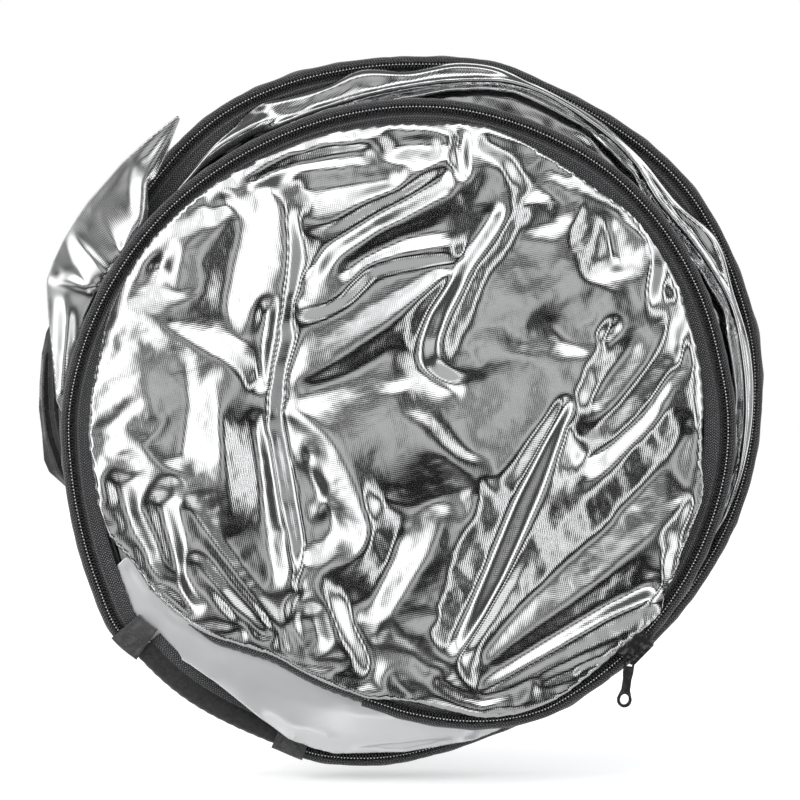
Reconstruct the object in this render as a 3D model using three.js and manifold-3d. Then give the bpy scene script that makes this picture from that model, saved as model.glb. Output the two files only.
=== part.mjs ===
// Collapsible five-in-one reflector disc, folded into its three-turn coil.
//
// Units are millimetres, +Z is up. The folded disc stands upright: its faces are
// parallel to the XZ plane and its front (silver) face looks along -Y. Seen from the
// front, +X is right. The origin is the centre of the folded bundle's bounding box.
//
// The hoop is one closed spring-steel band that winds three times round the bundle.
// Each winding carries its own length of hoop, rim sleeve, zip and cloth, so the
// bundle is three thin discs (front, middle and rear turn) stacked along +Y, joined
// at the lower left where the band crosses from one turn to the next.

import * as THREE from 'three';
import { mergeVertices } from 'three/addons/utils/BufferGeometryUtils.js';
import Module from 'manifold-3d';

const wasm = await Module();
wasm.setup();

const { DEG2RAD, euclideanModulo, smoothstep } = THREE.MathUtils;

// ---------------------------------------------------------------- turns
// Each turn has
//   y0        depth of the front face of its zip
//   from, to  polar span of its rim in degrees (0 = +X, 90 = +Z)
//   edge      its outer edge, as [polar angle in degrees, radius] about HUB
const HUB = { x: 0, z: -5.1 };
const FRONT_Y = -22;
const TURN_PITCH = 14;
const ARC_R = 132.2; // the front turn is a true arc where the slider runs
const ARC_ANGLES = [296, 302, 312, 322, 332, 342, 352];

const FRONT = {
  y0: FRONT_Y,
  from: 262.5,
  to: 578.5,
  edge: [
    [0, 131.4], [10, 129.8], [20, 129.4], [30, 129.0], [40, 128.6], [50, 127.8],
    [60, 126.3], [70, 125.1], [80, 124.1], [90, 122.9], [100, 121.8], [110, 121.2],
    [120, 121.4], [130, 122.4], [140, 124.0], [150, 125.7], [160, 127.8], [170, 130.2],
    [180, 132.6], [190, 133.8], [200, 136.0], [205, 137.6], [210, 139.4], [218, 142.4],
    [224, 140.0], [240, 128.0], [252, 118.0], [262, 115.6], [266, 117.2], [270, 119.6],
    [275, 122.4], [280, 125.3], [285, 128.0], [290, 130.3],
    ...ARC_ANGLES.map((angle) => [angle, ARC_R]),
  ],
};
const MIDDLE = {
  y0: FRONT_Y + TURN_PITCH,
  from: 253.2,
  to: 579,
  edge: [
    [0, 144.2], [10, 146.0], [20, 146.6], [30, 147.4], [38, 147.8], [46, 146.8],
    [56, 145.0], [66, 144.0], [74, 145.0], [80, 143.8], [86, 142.4], [92, 141.8],
    [100, 141.5], [110, 141.7], [120, 141.5], [127, 140.2], [134, 138.2], [142, 136.6],
    [152, 135.6], [164, 135.6], [176, 136.0], [188, 135.6], [200, 136.0], [210, 138.2],
    [218, 140.6], [226, 141.3], [234, 142.0], [242, 142.0], [250, 142.2], [256, 143.2],
    [261, 142.3], [266, 141.0], [271, 139.2], [276, 137.0], [281, 135.2], [287, 133.6],
    [296, 133.0], [305, 134.0], [314, 135.8], [324, 137.4], [334, 139.4], [344, 141.6],
    [352, 143.0],
  ],
};
const REAR = {
  y0: FRONT_Y + 2 * TURN_PITCH,
  from: 246,
  to: 589,
  edge: [
    [0, 137.0], [20, 138.6], [45, 139.0], [70, 137.4], [95, 136.0], [120, 135.2],
    [145, 134.4], [165, 134.6], [185, 135.2], [200, 135.4], [214, 137.2], [228, 137.6],
    [245, 137.0], [265, 135.4], [285, 132.6], [305, 132.0], [325, 134.0], [345, 136.0],
  ],
};

const STEPS_PER_TURN = 42;
const CLOTH_SEGMENTS = 44;

// ---------------------------------------------------------------- rim dimensions
// An inset is measured inward from the turn's outer edge, a depth back from its zip's face.
const COIL_ROW_W = 2.9; // one row of the coil zip
const COIL_GAP = 0.3;
const COIL_T = 2.4;
const COIL_PITCH = COIL_ROW_W + COIL_GAP;

const TAPE_INSET = 2 * COIL_PITCH; // woven zip tape, just inside the two rows
const TAPE_W = 5.6;
const TAPE_DEPTH = 0.8;
const TAPE_T = 0.7;

const SLEEVE_INSET = 2.0;
const SLEEVE_W = 10.6;
const SLEEVE_DEPTH = 4.5;
const SLEEVE_T = 4.4;
const SLEEVE_WALL = 0.7;
const SLEEVE_SLIT = 0.6;

const HOOP_W = 6.0; // flat spring-steel band, centred in the sleeve
const HOOP_T = 0.8;
const HOOP_INSET = SLEEVE_INSET + SLEEVE_W / 2;
const HOOP_DEPTH = SLEEVE_DEPTH + SLEEVE_T / 2;

const REAR_TAPE_DEPTH = 9.2; // rear tape, turned forward over the edge
const REAR_TAPE_T = 0.6;
const REAR_TAPE_INSET = 10.0; // its inner edge
const REAR_TAPE_PROUD = 0.9; // how far it stands outside the edge
const REAR_TAPE_SIDE_DEPTH = 4.5; // front of the turned edge
const REAR_TAPE_BACK = REAR_TAPE_DEPTH + REAR_TAPE_T;

// ---------------------------------------------------------------- materials
const standard = (settings) => new THREE.MeshStandardMaterial(settings);
const SILVER = standard({ color: 0xc9cbcf, roughness: 0.25, metalness: 1 });
const BLACK_CLOTH = standard({ color: 0x121214, roughness: 0.7, metalness: 0 });
const BLACK_TAPE = standard({ color: 0x1b1b1d, roughness: 0.85, metalness: 0 });
const BLACK_COIL = standard({ color: 0x0c0c0d, roughness: 0.4, metalness: 0 });
const BLACK_SATIN = standard({ color: 0x0e0e10, roughness: 0.5, metalness: 0 });
const DIFFUSER = standard({ color: 0xf2f2ee, roughness: 0.8, metalness: 0 });
const STEEL = standard({ color: 0x9aa0a6, roughness: 0.35, metalness: 1 });
const FERRULE_METAL = standard({ color: 0xb9bcc0, roughness: 0.4, metalness: 1 });
const PAINTED = standard({ color: 0x0a0a0b, roughness: 0.35, metalness: 0.4 });

const object = new THREE.Group();
object.name = 'reflector_disc';

function addPiece(name, geometry, material, parent = object) {
  const mesh = new THREE.Mesh(geometry, material);
  mesh.name = name;
  parent.add(mesh);
  return mesh;
}

// ---------------------------------------------------------------- booleans
function toManifold(geometry) {
  // Normals and UVs differ across sharp edges and would keep the vertices from merging.
  geometry.deleteAttribute('uv');
  geometry.deleteAttribute('normal');
  const merged = mergeVertices(geometry, 1e-4);
  return new wasm.Manifold(new wasm.Mesh({
    numProp: 3,
    vertProperties: new Float32Array(merged.attributes.position.array),
    triVerts: new Uint32Array(merged.index.array),
  }));
}

function fromManifold(solid) {
  const { vertProperties, triVerts } = solid.getMesh();
  const geometry = new THREE.BufferGeometry();
  geometry.setAttribute('position',
    new THREE.BufferAttribute(new Float32Array(vertProperties), 3));
  geometry.setIndex(new THREE.BufferAttribute(new Uint32Array(triVerts), 1));
  return geometry;
}

// ---------------------------------------------------------------- turn edges
// Smooth closed interpolation (cubic Hermite) of a turn's edge table.
function edgeRadius({ edge }, degrees) {
  const angle = euclideanModulo(degrees, 360);
  let index = edge.length - 1;
  while (index > 0 && edge[index][0] > angle) index--;

  const station = (k) => {
    const [stationAngle, radius] = edge[euclideanModulo(k, edge.length)];
    return [stationAngle + 360 * Math.floor(k / edge.length), radius];
  };
  const [angleBefore, radiusBefore] = station(index - 1);
  const [angleStart, radiusStart] = station(index);
  const [angleEnd, radiusEnd] = station(index + 1);
  const [angleAfter, radiusAfter] = station(index + 2);

  const slopeStart = (radiusEnd - radiusBefore) / (angleEnd - angleBefore);
  const slopeEnd = (radiusAfter - radiusStart) / (angleAfter - angleStart);
  const width = angleEnd - angleStart;
  const t = (angle - angleStart) / width;
  const t2 = t * t;
  const t3 = t2 * t;
  return (2 * t3 - 3 * t2 + 1) * radiusStart
    + (t3 - 2 * t2 + t) * width * slopeStart
    + (-2 * t3 + 3 * t2) * radiusEnd
    + (t3 - t2) * width * slopeEnd;
}

// Points in the XZ plane are Vector2s, whose y holds Z.
const polar = (radius, degrees) => new THREE.Vector2(
  HUB.x + radius * Math.cos(degrees * DEG2RAD),
  HUB.z + radius * Math.sin(degrees * DEG2RAD),
);
const edgePoint = (turn, degrees) => polar(edgeRadius(turn, degrees), degrees);
const vectors = (pairs) => pairs.map(([x, z]) => new THREE.Vector2(x, z));

// A turn's outer edge, easing from depth yStart to yEnd along its length.
class EdgeCurve extends THREE.Curve {
  constructor(turn, from = turn.from, to = turn.to, yStart = turn.y0, yEnd = yStart) {
    super();
    Object.assign(this, { turn, from, to, yStart, yEnd });
  }

  getPoint(t, target = new THREE.Vector3()) {
    const point = edgePoint(this.turn, this.from + (this.to - this.from) * t);
    const y = this.yStart + (this.yEnd - this.yStart) * smoothstep(t, 0, 1);
    return target.set(point.x, y, point.y);
  }
}

// ---------------------------------------------------------------- rim sections
// A section is a list of [inset, depth] corners. Its bounds are given as the insets of
// its outer and inner sides, then the depths of its front and back.
const rectangle = (outer, inner, front, back) => [
  [outer, front], [inner, front], [inner, back], [outer, back],
];

const bevelled = (outer, inner, front, back, bevel) => [
  [outer + bevel, front], [inner - bevel, front],
  [inner, front + bevel], [inner, back - bevel],
  [inner - bevel, back], [outer + bevel, back],
  [outer, back - bevel], [outer, front + bevel],
];

// A flat tube folded from one strip: its two edges meet at a fine slit on the inner side.
function folded(outer, inner, front, back, wall, slit) {
  const slitFront = (front + back) / 2 - slit / 2;
  const slitBack = (front + back) / 2 + slit / 2;
  return [
    [outer, front], [inner, front], [inner, slitFront], [inner - wall, slitFront],
    [inner - wall, front + wall], [outer + wall, front + wall],
    [outer + wall, back - wall], [inner - wall, back - wall],
    [inner - wall, slitBack], [inner, slitBack], [inner, back], [outer, back],
  ];
}

function sweep(section, curve, steps) {
  const shape = new THREE.Shape(vectors(section.map(([inset, depth]) => [-depth, -inset])));
  return new THREE.ExtrudeGeometry(shape, {
    steps,
    bevelEnabled: false,
    curveSegments: 1,
    extrudePath: curve,
  });
}

// ---------------------------------------------------------------- flat and billowing bodies
// A flat piece cut to an outline in the XZ plane, between depths y and y + thickness.
function plate(outline, y, thickness) {
  const geometry = new THREE.ExtrudeGeometry(new THREE.Shape(outline),
    { depth: thickness, bevelEnabled: false });
  geometry.rotateX(Math.PI / 2); // shape Y becomes Z, the extrusion runs along -Y
  geometry.translate(0, y + thickness, 0);
  return geometry;
}

// A flat cloth disc inside a turn's rim.
function clothDisc(turn, inset, y, thickness) {
  const outline = [];
  for (let i = 0; i < CLOTH_SEGMENTS; i++) {
    const degrees = (i + 0.5) / CLOTH_SEGMENTS * 360;
    outline.push(polar(edgeRadius(turn, degrees) - inset, degrees));
  }
  return plate(outline, y, thickness);
}

// A billowing cloth body: a lathe round the hub's axis, fitted to the turn's edge.
// The profile is [fraction of the radius, depth] from the front centre to the back centre.
function billow(turn, inset, profile) {
  const points = profile.map(([fraction, depth]) => new THREE.Vector2(fraction, turn.y0 + depth));
  const geometry = new THREE.LatheGeometry(points, CLOTH_SEGMENTS);
  const position = geometry.attributes.position;
  for (let i = 0; i < position.count; i++) {
    const x = position.getX(i);
    const y = position.getY(i);
    const z = position.getZ(i);
    const fraction = Math.hypot(x, z);
    if (fraction < 1e-6) {
      position.setXYZ(i, HUB.x, y, HUB.z);
      continue;
    }
    // Rounding gives both sides of the lathe's seam the same angle.
    const degrees = Math.round(Math.atan2(z, x) / DEG2RAD * 1e3) / 1e3;
    const point = polar(fraction * (edgeRadius(turn, degrees) - inset), degrees);
    position.setXYZ(i, point.x, y, point.y);
  }
  return geometry;
}

// ---------------------------------------------------------------- the three turns
const DIFFUSER_GAP = 1.4; // between the sleeve and the diffuser
const DIFFUSER_T = 0.6;

const REAR_TAPE_SECTION = [
  [-REAR_TAPE_PROUD, REAR_TAPE_SIDE_DEPTH],
  [-REAR_TAPE_PROUD + REAR_TAPE_T, REAR_TAPE_SIDE_DEPTH],
  [-REAR_TAPE_PROUD + REAR_TAPE_T, REAR_TAPE_DEPTH],
  [REAR_TAPE_INSET, REAR_TAPE_DEPTH],
  [REAR_TAPE_INSET, REAR_TAPE_BACK],
  [-REAR_TAPE_PROUD, REAR_TAPE_BACK],
];

// [name, section, material] of every piece that runs the length of a turn's rim
const RIM_PIECES = [
  ['zip_coil_outer', rectangle(0, COIL_ROW_W, 0, COIL_T), BLACK_COIL],
  ['zip_coil_inner', rectangle(COIL_PITCH, COIL_PITCH + COIL_ROW_W, 0, COIL_T), BLACK_COIL],
  ['zip_tape_inner', rectangle(TAPE_INSET, TAPE_INSET + TAPE_W,
    TAPE_DEPTH, TAPE_DEPTH + TAPE_T), BLACK_TAPE],
  ['zip_tape_outer', REAR_TAPE_SECTION, BLACK_TAPE],
  ['rim_sleeve', folded(SLEEVE_INSET, SLEEVE_INSET + SLEEVE_W,
    SLEEVE_DEPTH, SLEEVE_DEPTH + SLEEVE_T, SLEEVE_WALL, SLEEVE_SLIT), BLACK_SATIN],
  ['hoop_band', rectangle(HOOP_INSET - HOOP_W / 2, HOOP_INSET + HOOP_W / 2,
    HOOP_DEPTH - HOOP_T / 2, HOOP_DEPTH + HOOP_T / 2), STEEL],
];

function addTurn(prefix, turn) {
  const curve = new EdgeCurve(turn);
  const steps = Math.round(STEPS_PER_TURN * (turn.to - turn.from) / 360);
  for (const [name, section, material] of RIM_PIECES) {
    addPiece(`${prefix}_${name}`, sweep(section, curve, steps), material);
  }
  const diffuser = clothDisc(turn, SLEEVE_INSET + SLEEVE_W + DIFFUSER_GAP,
    turn.y0 + HOOP_DEPTH - DIFFUSER_T / 2, DIFFUSER_T);
  addPiece(`${prefix}_diffuser_panel`, diffuser, DIFFUSER);
}

addTurn('front', FRONT);
addTurn('middle', MIDDLE);
addTurn('rear', REAR);

// Crimped ferrule that closes the hoop, at the top of the rear turn.
const FERRULE = { from: 92, to: 104, width: 8.0, thickness: 2.3, wall: 0.4, slit: 0.3 };
addPiece('hoop_ferrule', sweep(
  folded(HOOP_INSET - FERRULE.width / 2, HOOP_INSET + FERRULE.width / 2,
    HOOP_DEPTH - FERRULE.thickness / 2, HOOP_DEPTH + FERRULE.thickness / 2,
    FERRULE.wall, FERRULE.slit),
  new EdgeCurve(REAR, FERRULE.from, FERRULE.to), 2), FERRULE_METAL);

// ---------------------------------------------------------------- cloth panels
const FRONT_PROUD = 9.0; // how far the front cloth billows ahead of the zip's face
const REAR_PROUD = 7.0; // how far the rear cloth billows behind the rear tape's front
const FRONT_SILVER_INSET = TAPE_INSET + TAPE_W + 1.6;
const MIDDLE_SILVER_INSET = 13.4;
const REAR_SILVER_INSET = 7.0;
const BLACK_INSET = 10.8;
const SILVER_DISC_AHEAD = 2.6; // front of the flat silver discs, ahead of the zip's face
const SILVER_DISC_T = 2.3;

// Both profiles are [fraction of the radius, depth].
const FRONT_PROFILE = [
  [0, -FRONT_PROUD + 2.0],
  [0.35, -FRONT_PROUD],
  [0.7, -FRONT_PROUD + 0.8],
  [0.9, -5.0],
  [1, -0.6],
  [1, 2.4],
  [0.6, 4.6],
  [0, 4.6],
];
const REAR_PROFILE = [
  [0, REAR_TAPE_DEPTH - 0.2],
  [0.999, REAR_TAPE_DEPTH],
  [1, REAR_TAPE_DEPTH + 0.4],
  [0.9, REAR_TAPE_DEPTH + 4.0],
  [0.7, REAR_TAPE_DEPTH + REAR_PROUD - 0.8],
  [0.35, REAR_TAPE_DEPTH + REAR_PROUD],
  [0, REAR_TAPE_DEPTH + REAR_PROUD - 1.5],
];

const silverDisc = (turn, inset) =>
  clothDisc(turn, inset, turn.y0 - SILVER_DISC_AHEAD, SILVER_DISC_T);
const blackDisc = (turn) =>
  clothDisc(turn, BLACK_INSET, turn.y0 + REAR_TAPE_DEPTH, REAR_TAPE_T);

addPiece('front_silver_panel', billow(FRONT, FRONT_SILVER_INSET, FRONT_PROFILE), SILVER);
addPiece('front_black_panel', blackDisc(FRONT), BLACK_CLOTH);
addPiece('middle_silver_panel', silverDisc(MIDDLE, MIDDLE_SILVER_INSET), SILVER);
addPiece('middle_black_panel', blackDisc(MIDDLE), BLACK_CLOTH);
addPiece('rear_silver_panel', silverDisc(REAR, REAR_SILVER_INSET), SILVER);
addPiece('rear_black_panel', billow(REAR, BLACK_INSET, REAR_PROFILE), BLACK_CLOTH);

// ---------------------------------------------------------------- loose folds
// Fold outlines are [polar angle in degrees, radius] about HUB.
const ring = (stations) => stations.map(([degrees, radius]) => polar(radius, degrees));

const SILVER_SIDE_EDGE = [
  [118, 142.6], [121, 145.0], [125.5, 147.4], [130, 147.6], [138, 149.0],
  [145, 149.2], [150, 149.4], [155, 150.4], [158, 150.4], [160, 148.6],
  [163, 145.4], [166, 143.4], [170, 140.4], [175, 137.6], [180, 135.6],
];
const BLACK_SIDE_OUTLINE = [
  [163, 145.2], [165, 146.6], [168, 147.4], [172, 146.8], [176, 146.2],
  [180, 146.0], [184, 145.0], [188, 145.2], [190, 143.4], [193.5, 136.6],
  [193, 128.0], [178, 126.0], [164, 128.0],
];
const SILVER_BOTTOM_OUTLINE = [
  [216, 118.0], [222, 126.2], [230, 126.4], [236, 126.4], [242, 126.4],
  [249, 126.8], [253.5, 133.0], [258, 135.2], [265, 135.4], [270, 135.0],
  [275, 134.2], [280, 133.0], [285, 131.6], [290, 130.2], [290, 120.0],
  [280, 112.0], [270, 109.0], [260, 107.0], [252, 106.0], [244, 106.0],
  [236, 109.0], [227, 114.0],
];
const SIDE_FOLD_T = 0.9;
const BOTTOM_FOLD_T = 0.8;

// Silver cloth slipped out past the rim at the upper left, ahead of the middle turn.
// Its inner side follows the front turn's edge.
function silverSideFold() {
  const innerInset = 8;
  const innerSide = [];
  for (let degrees = 180; degrees >= 116; degrees -= 8) {
    innerSide.push([degrees, edgeRadius(FRONT, degrees) - innerInset]);
  }
  return plate(ring([...SILVER_SIDE_EDGE, ...innerSide]), MIDDLE.y0 - 3.9, SIDE_FOLD_T);
}
addPiece('silver_side_fold', silverSideFold(), SILVER);

// Black cloth slipped out at the left, just behind the middle turn.
addPiece('black_side_fold', plate(ring(BLACK_SIDE_OUTLINE),
  MIDDLE.y0 + REAR_TAPE_BACK + 0.5, SIDE_FOLD_T), BLACK_CLOTH);

// Smooth silver fold across the bottom, between the front and middle turns.
addPiece('silver_bottom_fold', plate(ring(SILVER_BOTTOM_OUTLINE),
  FRONT.y0 + REAR_TAPE_BACK + 0.4, BOTTOM_FOLD_T), SILVER);

// ---------------------------------------------------------------- the crossing
// Elastic gusset with no zip, which carries the rim from the front turn to the middle turn.
const GUSSET_FROM = 222.4;
const GUSSET_TO = 249.6;
const GUSSET_STEPS = 8;
const gussetCurve = new EdgeCurve(MIDDLE, GUSSET_FROM, GUSSET_TO, FRONT.y0, MIDDLE.y0);
addPiece('elastic_gusset',
  sweep(bevelled(0.2, 8.8, 0.4, 7.0, 2.2), gussetCurve, GUSSET_STEPS), BLACK_CLOTH);
addPiece('gusset_inner_tape',
  sweep(rectangle(9.1, 12.9, 1.4, 2.2), gussetCurve, GUSSET_STEPS), BLACK_TAPE);

// Folded satin tabs that cover the two ends of the zip, between two polar angles.
const TAB_FRONT = -0.9;
const TAB_BACK = 3.6;
const TAB_BEVEL = 0.8;
function addEndTab(name, turn, from, to, outer, inner) {
  const section = bevelled(outer, inner, TAB_FRONT, TAB_BACK, TAB_BEVEL);
  addPiece(name, sweep(section, new EdgeCurve(turn, from, to), 2), BLACK_SATIN);
}
addEndTab('zip_end_tab_upper', FRONT, FRONT.to + 0.25, FRONT.to + 2.65, -0.9, 11.5);
addEndTab('zip_end_tab_lower', MIDDLE, MIDDLE.from - 2.9, MIDDLE.from - 0.2, -0.7, 8.4);

// ---------------------------------------------------------------- slider
const SLIDER_AT = 315.4; // polar angle on the front turn
const SLIDER_L = 13.6;
const SLIDER_W = 9.2;
const SLIDER_LIP = 2.4; // how far it stands outside the chain
const PLATE_T = 1.2;
const CHANNEL = 0.4; // running clearance on the chain
const PLATE_TOP = CHANNEL + PLATE_T; // above the chain's face

const BRIDGE_INSET = 0.2; // the bridge's line on the slider
const BRIDGE_BASE = PLATE_TOP + 0.3;
const BRIDGE_H = 3.4;
const BRIDGE_W = 1.2; // across the chain
const BRIDGE_LEG = 1.2; // length of each leg along the chain
const BRIDGE_ROOF = 1.0;
const TAIL_LEG_X = -6.1; // centre of the tail-end leg, along the chain
const BRIDGE_HEAD_X = 2.6; // head end of the bridge

// Slider frame: X runs along the chain, Y inward, Z out of the front face.
function makeSliderFrame() {
  const centre = edgePoint(FRONT, SLIDER_AT);
  const ahead = edgePoint(FRONT, SLIDER_AT + 0.5);
  const behind = edgePoint(FRONT, SLIDER_AT - 0.5);
  const along = new THREE.Vector3(ahead.x - behind.x, 0, ahead.y - behind.y).normalize();
  const forward = new THREE.Vector3(0, -1, 0);
  const inward = new THREE.Vector3().crossVectors(forward, along);
  return new THREE.Matrix4().makeBasis(along, inward, forward)
    .setPosition(centre.x, FRONT.y0, centre.y);
}
const sliderFrame = makeSliderFrame();
const slider = new THREE.Group();
sliderFrame.decompose(slider.position, slider.quaternion, slider.scale);
object.add(slider);

// Body: a shouldered plan shape, hollowed by the channel the chain runs in.
function sliderBody() {
  const head = SLIDER_L / 2;
  const tail = -head;
  const outer = -SLIDER_LIP;
  const inner = SLIDER_W - SLIDER_LIP;
  const tailBevel = 1.2;
  const headBevelLength = 2.0;
  const headBevelWidth = 1.6;
  const notch = 0.6; // shallow dip in the middle of the head end
  const plan = [
    [tail, outer + tailBevel], [tail + tailBevel, outer],
    [2.2, outer], [head - headBevelLength, outer],
    [head, outer + headBevelWidth], [head - notch, (outer + inner) / 2],
    [head, inner - headBevelWidth], [head - headBevelLength, inner],
    [tail + tailBevel, inner], [tail, inner - tailBevel],
  ];
  const body = new THREE.ExtrudeGeometry(new THREE.Shape(vectors(plan)),
    { depth: COIL_T + 2 * PLATE_TOP, bevelEnabled: false });
  body.translate(0, 0, -(COIL_T + PLATE_TOP));

  // The channel is open at both ends and along the inner side.
  const cutW = 20;
  const channel = new THREE.BoxGeometry(SLIDER_L + 4, cutW, COIL_T + 2 * CHANNEL);
  channel.translate(0, cutW / 2 - CHANNEL, -COIL_T / 2);
  return fromManifold(toManifold(body).subtract(toManifold(channel)));
}
addPiece('slider_body', sliderBody(), PAINTED, slider);

// Bridge: a low arch over the top plate, along the chain.
function sliderBridge() {
  const tail = TAIL_LEG_X - BRIDGE_LEG / 2;
  const head = BRIDGE_HEAD_X;
  const top = BRIDGE_BASE + BRIDGE_H;
  const ceiling = top - BRIDGE_ROOF;
  const innerBevel = 0.5;
  const outerBevelLength = 1.4;
  const outerBevelHeight = 1.2;
  const arch = [
    [tail, BRIDGE_BASE], [tail + BRIDGE_LEG, BRIDGE_BASE],
    [tail + BRIDGE_LEG, ceiling - innerBevel], [tail + BRIDGE_LEG + innerBevel, ceiling],
    [head - BRIDGE_LEG - innerBevel, ceiling], [head - BRIDGE_LEG, ceiling - innerBevel],
    [head - BRIDGE_LEG, BRIDGE_BASE], [head, BRIDGE_BASE],
    [head, top - outerBevelHeight], [head - outerBevelLength, top],
    [tail + outerBevelLength, top], [tail, top - outerBevelHeight],
  ];
  return plate(vectors(arch), BRIDGE_INSET - BRIDGE_W / 2, BRIDGE_W);
}
addPiece('slider_bridge', sliderBridge(), PAINTED, slider);

// ---------------------------------------------------------------- pull
// The bridge's tail leg stands through the pull's slot, and the pull swings round that leg.
const PULL_L = 20.4;
const PULL_W = 4.0;
const PULL_END_W = 5.8;
const PULL_T = 1.2;
const PULL_TOP = 2.3; // top edge above the pivot
const PULL_TILT = 8; // degrees from plumb, toward the left
const PIVOT_HEIGHT = BRIDGE_BASE + 1.15; // above the chain's face

// A flat stamped tab with a slot for the bridge and an oval finger hole; origin at the pivot.
function pullTab() {
  const endR = PULL_END_W / 2;
  const endZ = -(PULL_L - PULL_TOP - endR);
  // Right side from the top down, as [x, z].
  const rightSide = [
    [1.3, PULL_TOP], [PULL_W / 2, PULL_TOP - 0.9], [PULL_W / 2, -4.4], [1.65, -7.0],
    [1.7, -11.2], [endR - 0.5, -13.2], [endR, -14.8],
  ];
  const leftSide = rightSide.map(([x, z]) => [-x, z]);
  const roundEnd = [];
  for (let i = 1; i < 8; i++) {
    const angle = -i / 8 * Math.PI;
    roundEnd.push([endR * Math.cos(angle), endZ + endR * Math.sin(angle)]);
  }
  const outline = [leftSide[0], ...rightSide, ...roundEnd, ...leftSide.slice(1).reverse()];

  const slot = [[-1.2, -1.9], [1.2, -1.9], [1.2, 1.1], [-1.2, 1.1]];
  const holeHalfW = 1.75;
  const holeHalfH = 2.1;
  const holeZ = endZ + 0.3;
  const hole = [];
  for (let i = 0; i < 12; i++) {
    const angle = i / 12 * 2 * Math.PI;
    hole.push([holeHalfW * Math.cos(angle), holeZ + holeHalfH * Math.sin(angle)]);
  }

  const prism = (points, depth) => toManifold(plate(vectors(points), -depth / 2, depth));
  const cutDepth = PULL_T + 2;
  return fromManifold(prism(outline, PULL_T)
    .subtract(prism(slot, cutDepth))
    .subtract(prism(hole, cutDepth)));
}
const pull = addPiece('pull_tab', pullTab(), PAINTED);
pull.position.set(TAIL_LEG_X, BRIDGE_INSET, PIVOT_HEIGHT).applyMatrix4(sliderFrame);
pull.rotation.y = PULL_TILT * DEG2RAD;

// ---------------------------------------------------------------- origin
// Centre the bundle's bounding box on the origin.
object.updateMatrixWorld(true);
const bounds = new THREE.Box3().setFromObject(object, true);
object.position.sub(bounds.getCenter(new THREE.Vector3()));
object.updateMatrixWorld(true);

export default object;
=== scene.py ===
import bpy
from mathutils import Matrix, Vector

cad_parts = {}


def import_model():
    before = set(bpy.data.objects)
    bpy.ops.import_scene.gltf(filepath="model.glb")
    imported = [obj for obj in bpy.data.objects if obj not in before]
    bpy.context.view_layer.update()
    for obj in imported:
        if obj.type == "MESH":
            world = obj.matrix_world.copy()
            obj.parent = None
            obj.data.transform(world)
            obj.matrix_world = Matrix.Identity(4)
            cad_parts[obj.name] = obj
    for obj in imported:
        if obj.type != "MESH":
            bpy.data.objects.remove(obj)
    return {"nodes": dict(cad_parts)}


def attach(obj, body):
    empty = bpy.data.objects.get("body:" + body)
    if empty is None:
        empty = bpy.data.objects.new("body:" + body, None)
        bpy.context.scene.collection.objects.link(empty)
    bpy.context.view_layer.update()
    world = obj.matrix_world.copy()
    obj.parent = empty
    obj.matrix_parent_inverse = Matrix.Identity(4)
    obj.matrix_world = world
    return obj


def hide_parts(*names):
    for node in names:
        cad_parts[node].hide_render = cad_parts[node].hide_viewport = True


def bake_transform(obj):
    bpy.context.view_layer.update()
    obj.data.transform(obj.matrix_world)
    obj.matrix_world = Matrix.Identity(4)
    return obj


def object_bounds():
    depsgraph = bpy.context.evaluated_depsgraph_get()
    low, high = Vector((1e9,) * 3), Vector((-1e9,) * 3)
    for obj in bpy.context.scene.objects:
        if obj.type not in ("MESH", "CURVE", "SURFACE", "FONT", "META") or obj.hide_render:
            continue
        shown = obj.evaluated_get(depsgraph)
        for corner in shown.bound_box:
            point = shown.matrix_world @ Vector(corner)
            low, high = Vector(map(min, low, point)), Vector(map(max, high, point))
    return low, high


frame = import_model()
cad_low, cad_high = [list(v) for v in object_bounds()]

import math

import bpy
import numpy as np
from mathutils import Vector

RNG = np.random.default_rng(11)
MM = 0.001
PX = 2.55                        # drawing units per mm, for outlines given on an 800 x 800 board
HUB = np.array([0.264, -0.693])  # centre of the coil in the row frame, mm
YA, YB, YC = -17.6, -3.6, 10.4   # front faces of the three zips, mm


# ---------------------------------------------------------------- outlines
def board(points):
    """Board units (x right, y down, hub at 400, 413) to row millimetres (x, z)."""
    p = np.asarray(points, float)
    return np.stack([(p[:, 0] - 400) / PX + HUB[0], (413 - p[:, 1]) / PX + HUB[1]], 1)


def rim(deg_r):
    """[(angle, board radius)] to row millimetres (x, z)."""
    p = np.asarray(deg_r, float)
    a = np.radians(p[:, 0])
    return np.stack([p[:, 1] / PX * np.cos(a) + HUB[0], p[:, 1] / PX * np.sin(a) + HUB[1]], 1)


def table(points, period=360.0):
    """Smooth periodic (or open, period None) interpolation through [(x, value)]."""
    p = np.asarray(points, float)
    x, v = p[:, 0], p[:, 1]
    if period:
        x = np.concatenate([x[-2:] - period, x, x[:3] + period])
        v = np.concatenate([v[-2:], v, v[:3]])
    m = np.gradient(v, x)

    def f(q):
        q = np.asarray(q, float)
        if period:
            q = np.mod(q, period)
        else:
            q = np.clip(q, x[0], x[-1])
        i = np.clip(np.searchsorted(x, q, side="right") - 1, 0, len(x) - 2)
        w = x[i + 1] - x[i]
        t = (q - x[i]) / w
        t2, t3 = t * t, t * t * t
        return (2 * t3 - 3 * t2 + 1) * v[i] + (t3 - 2 * t2 + t) * w * m[i] + (-2 * t3 + 3 * t2) * v[i + 1] + (t3 - t2) * w * m[i + 1]

    return f


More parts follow.
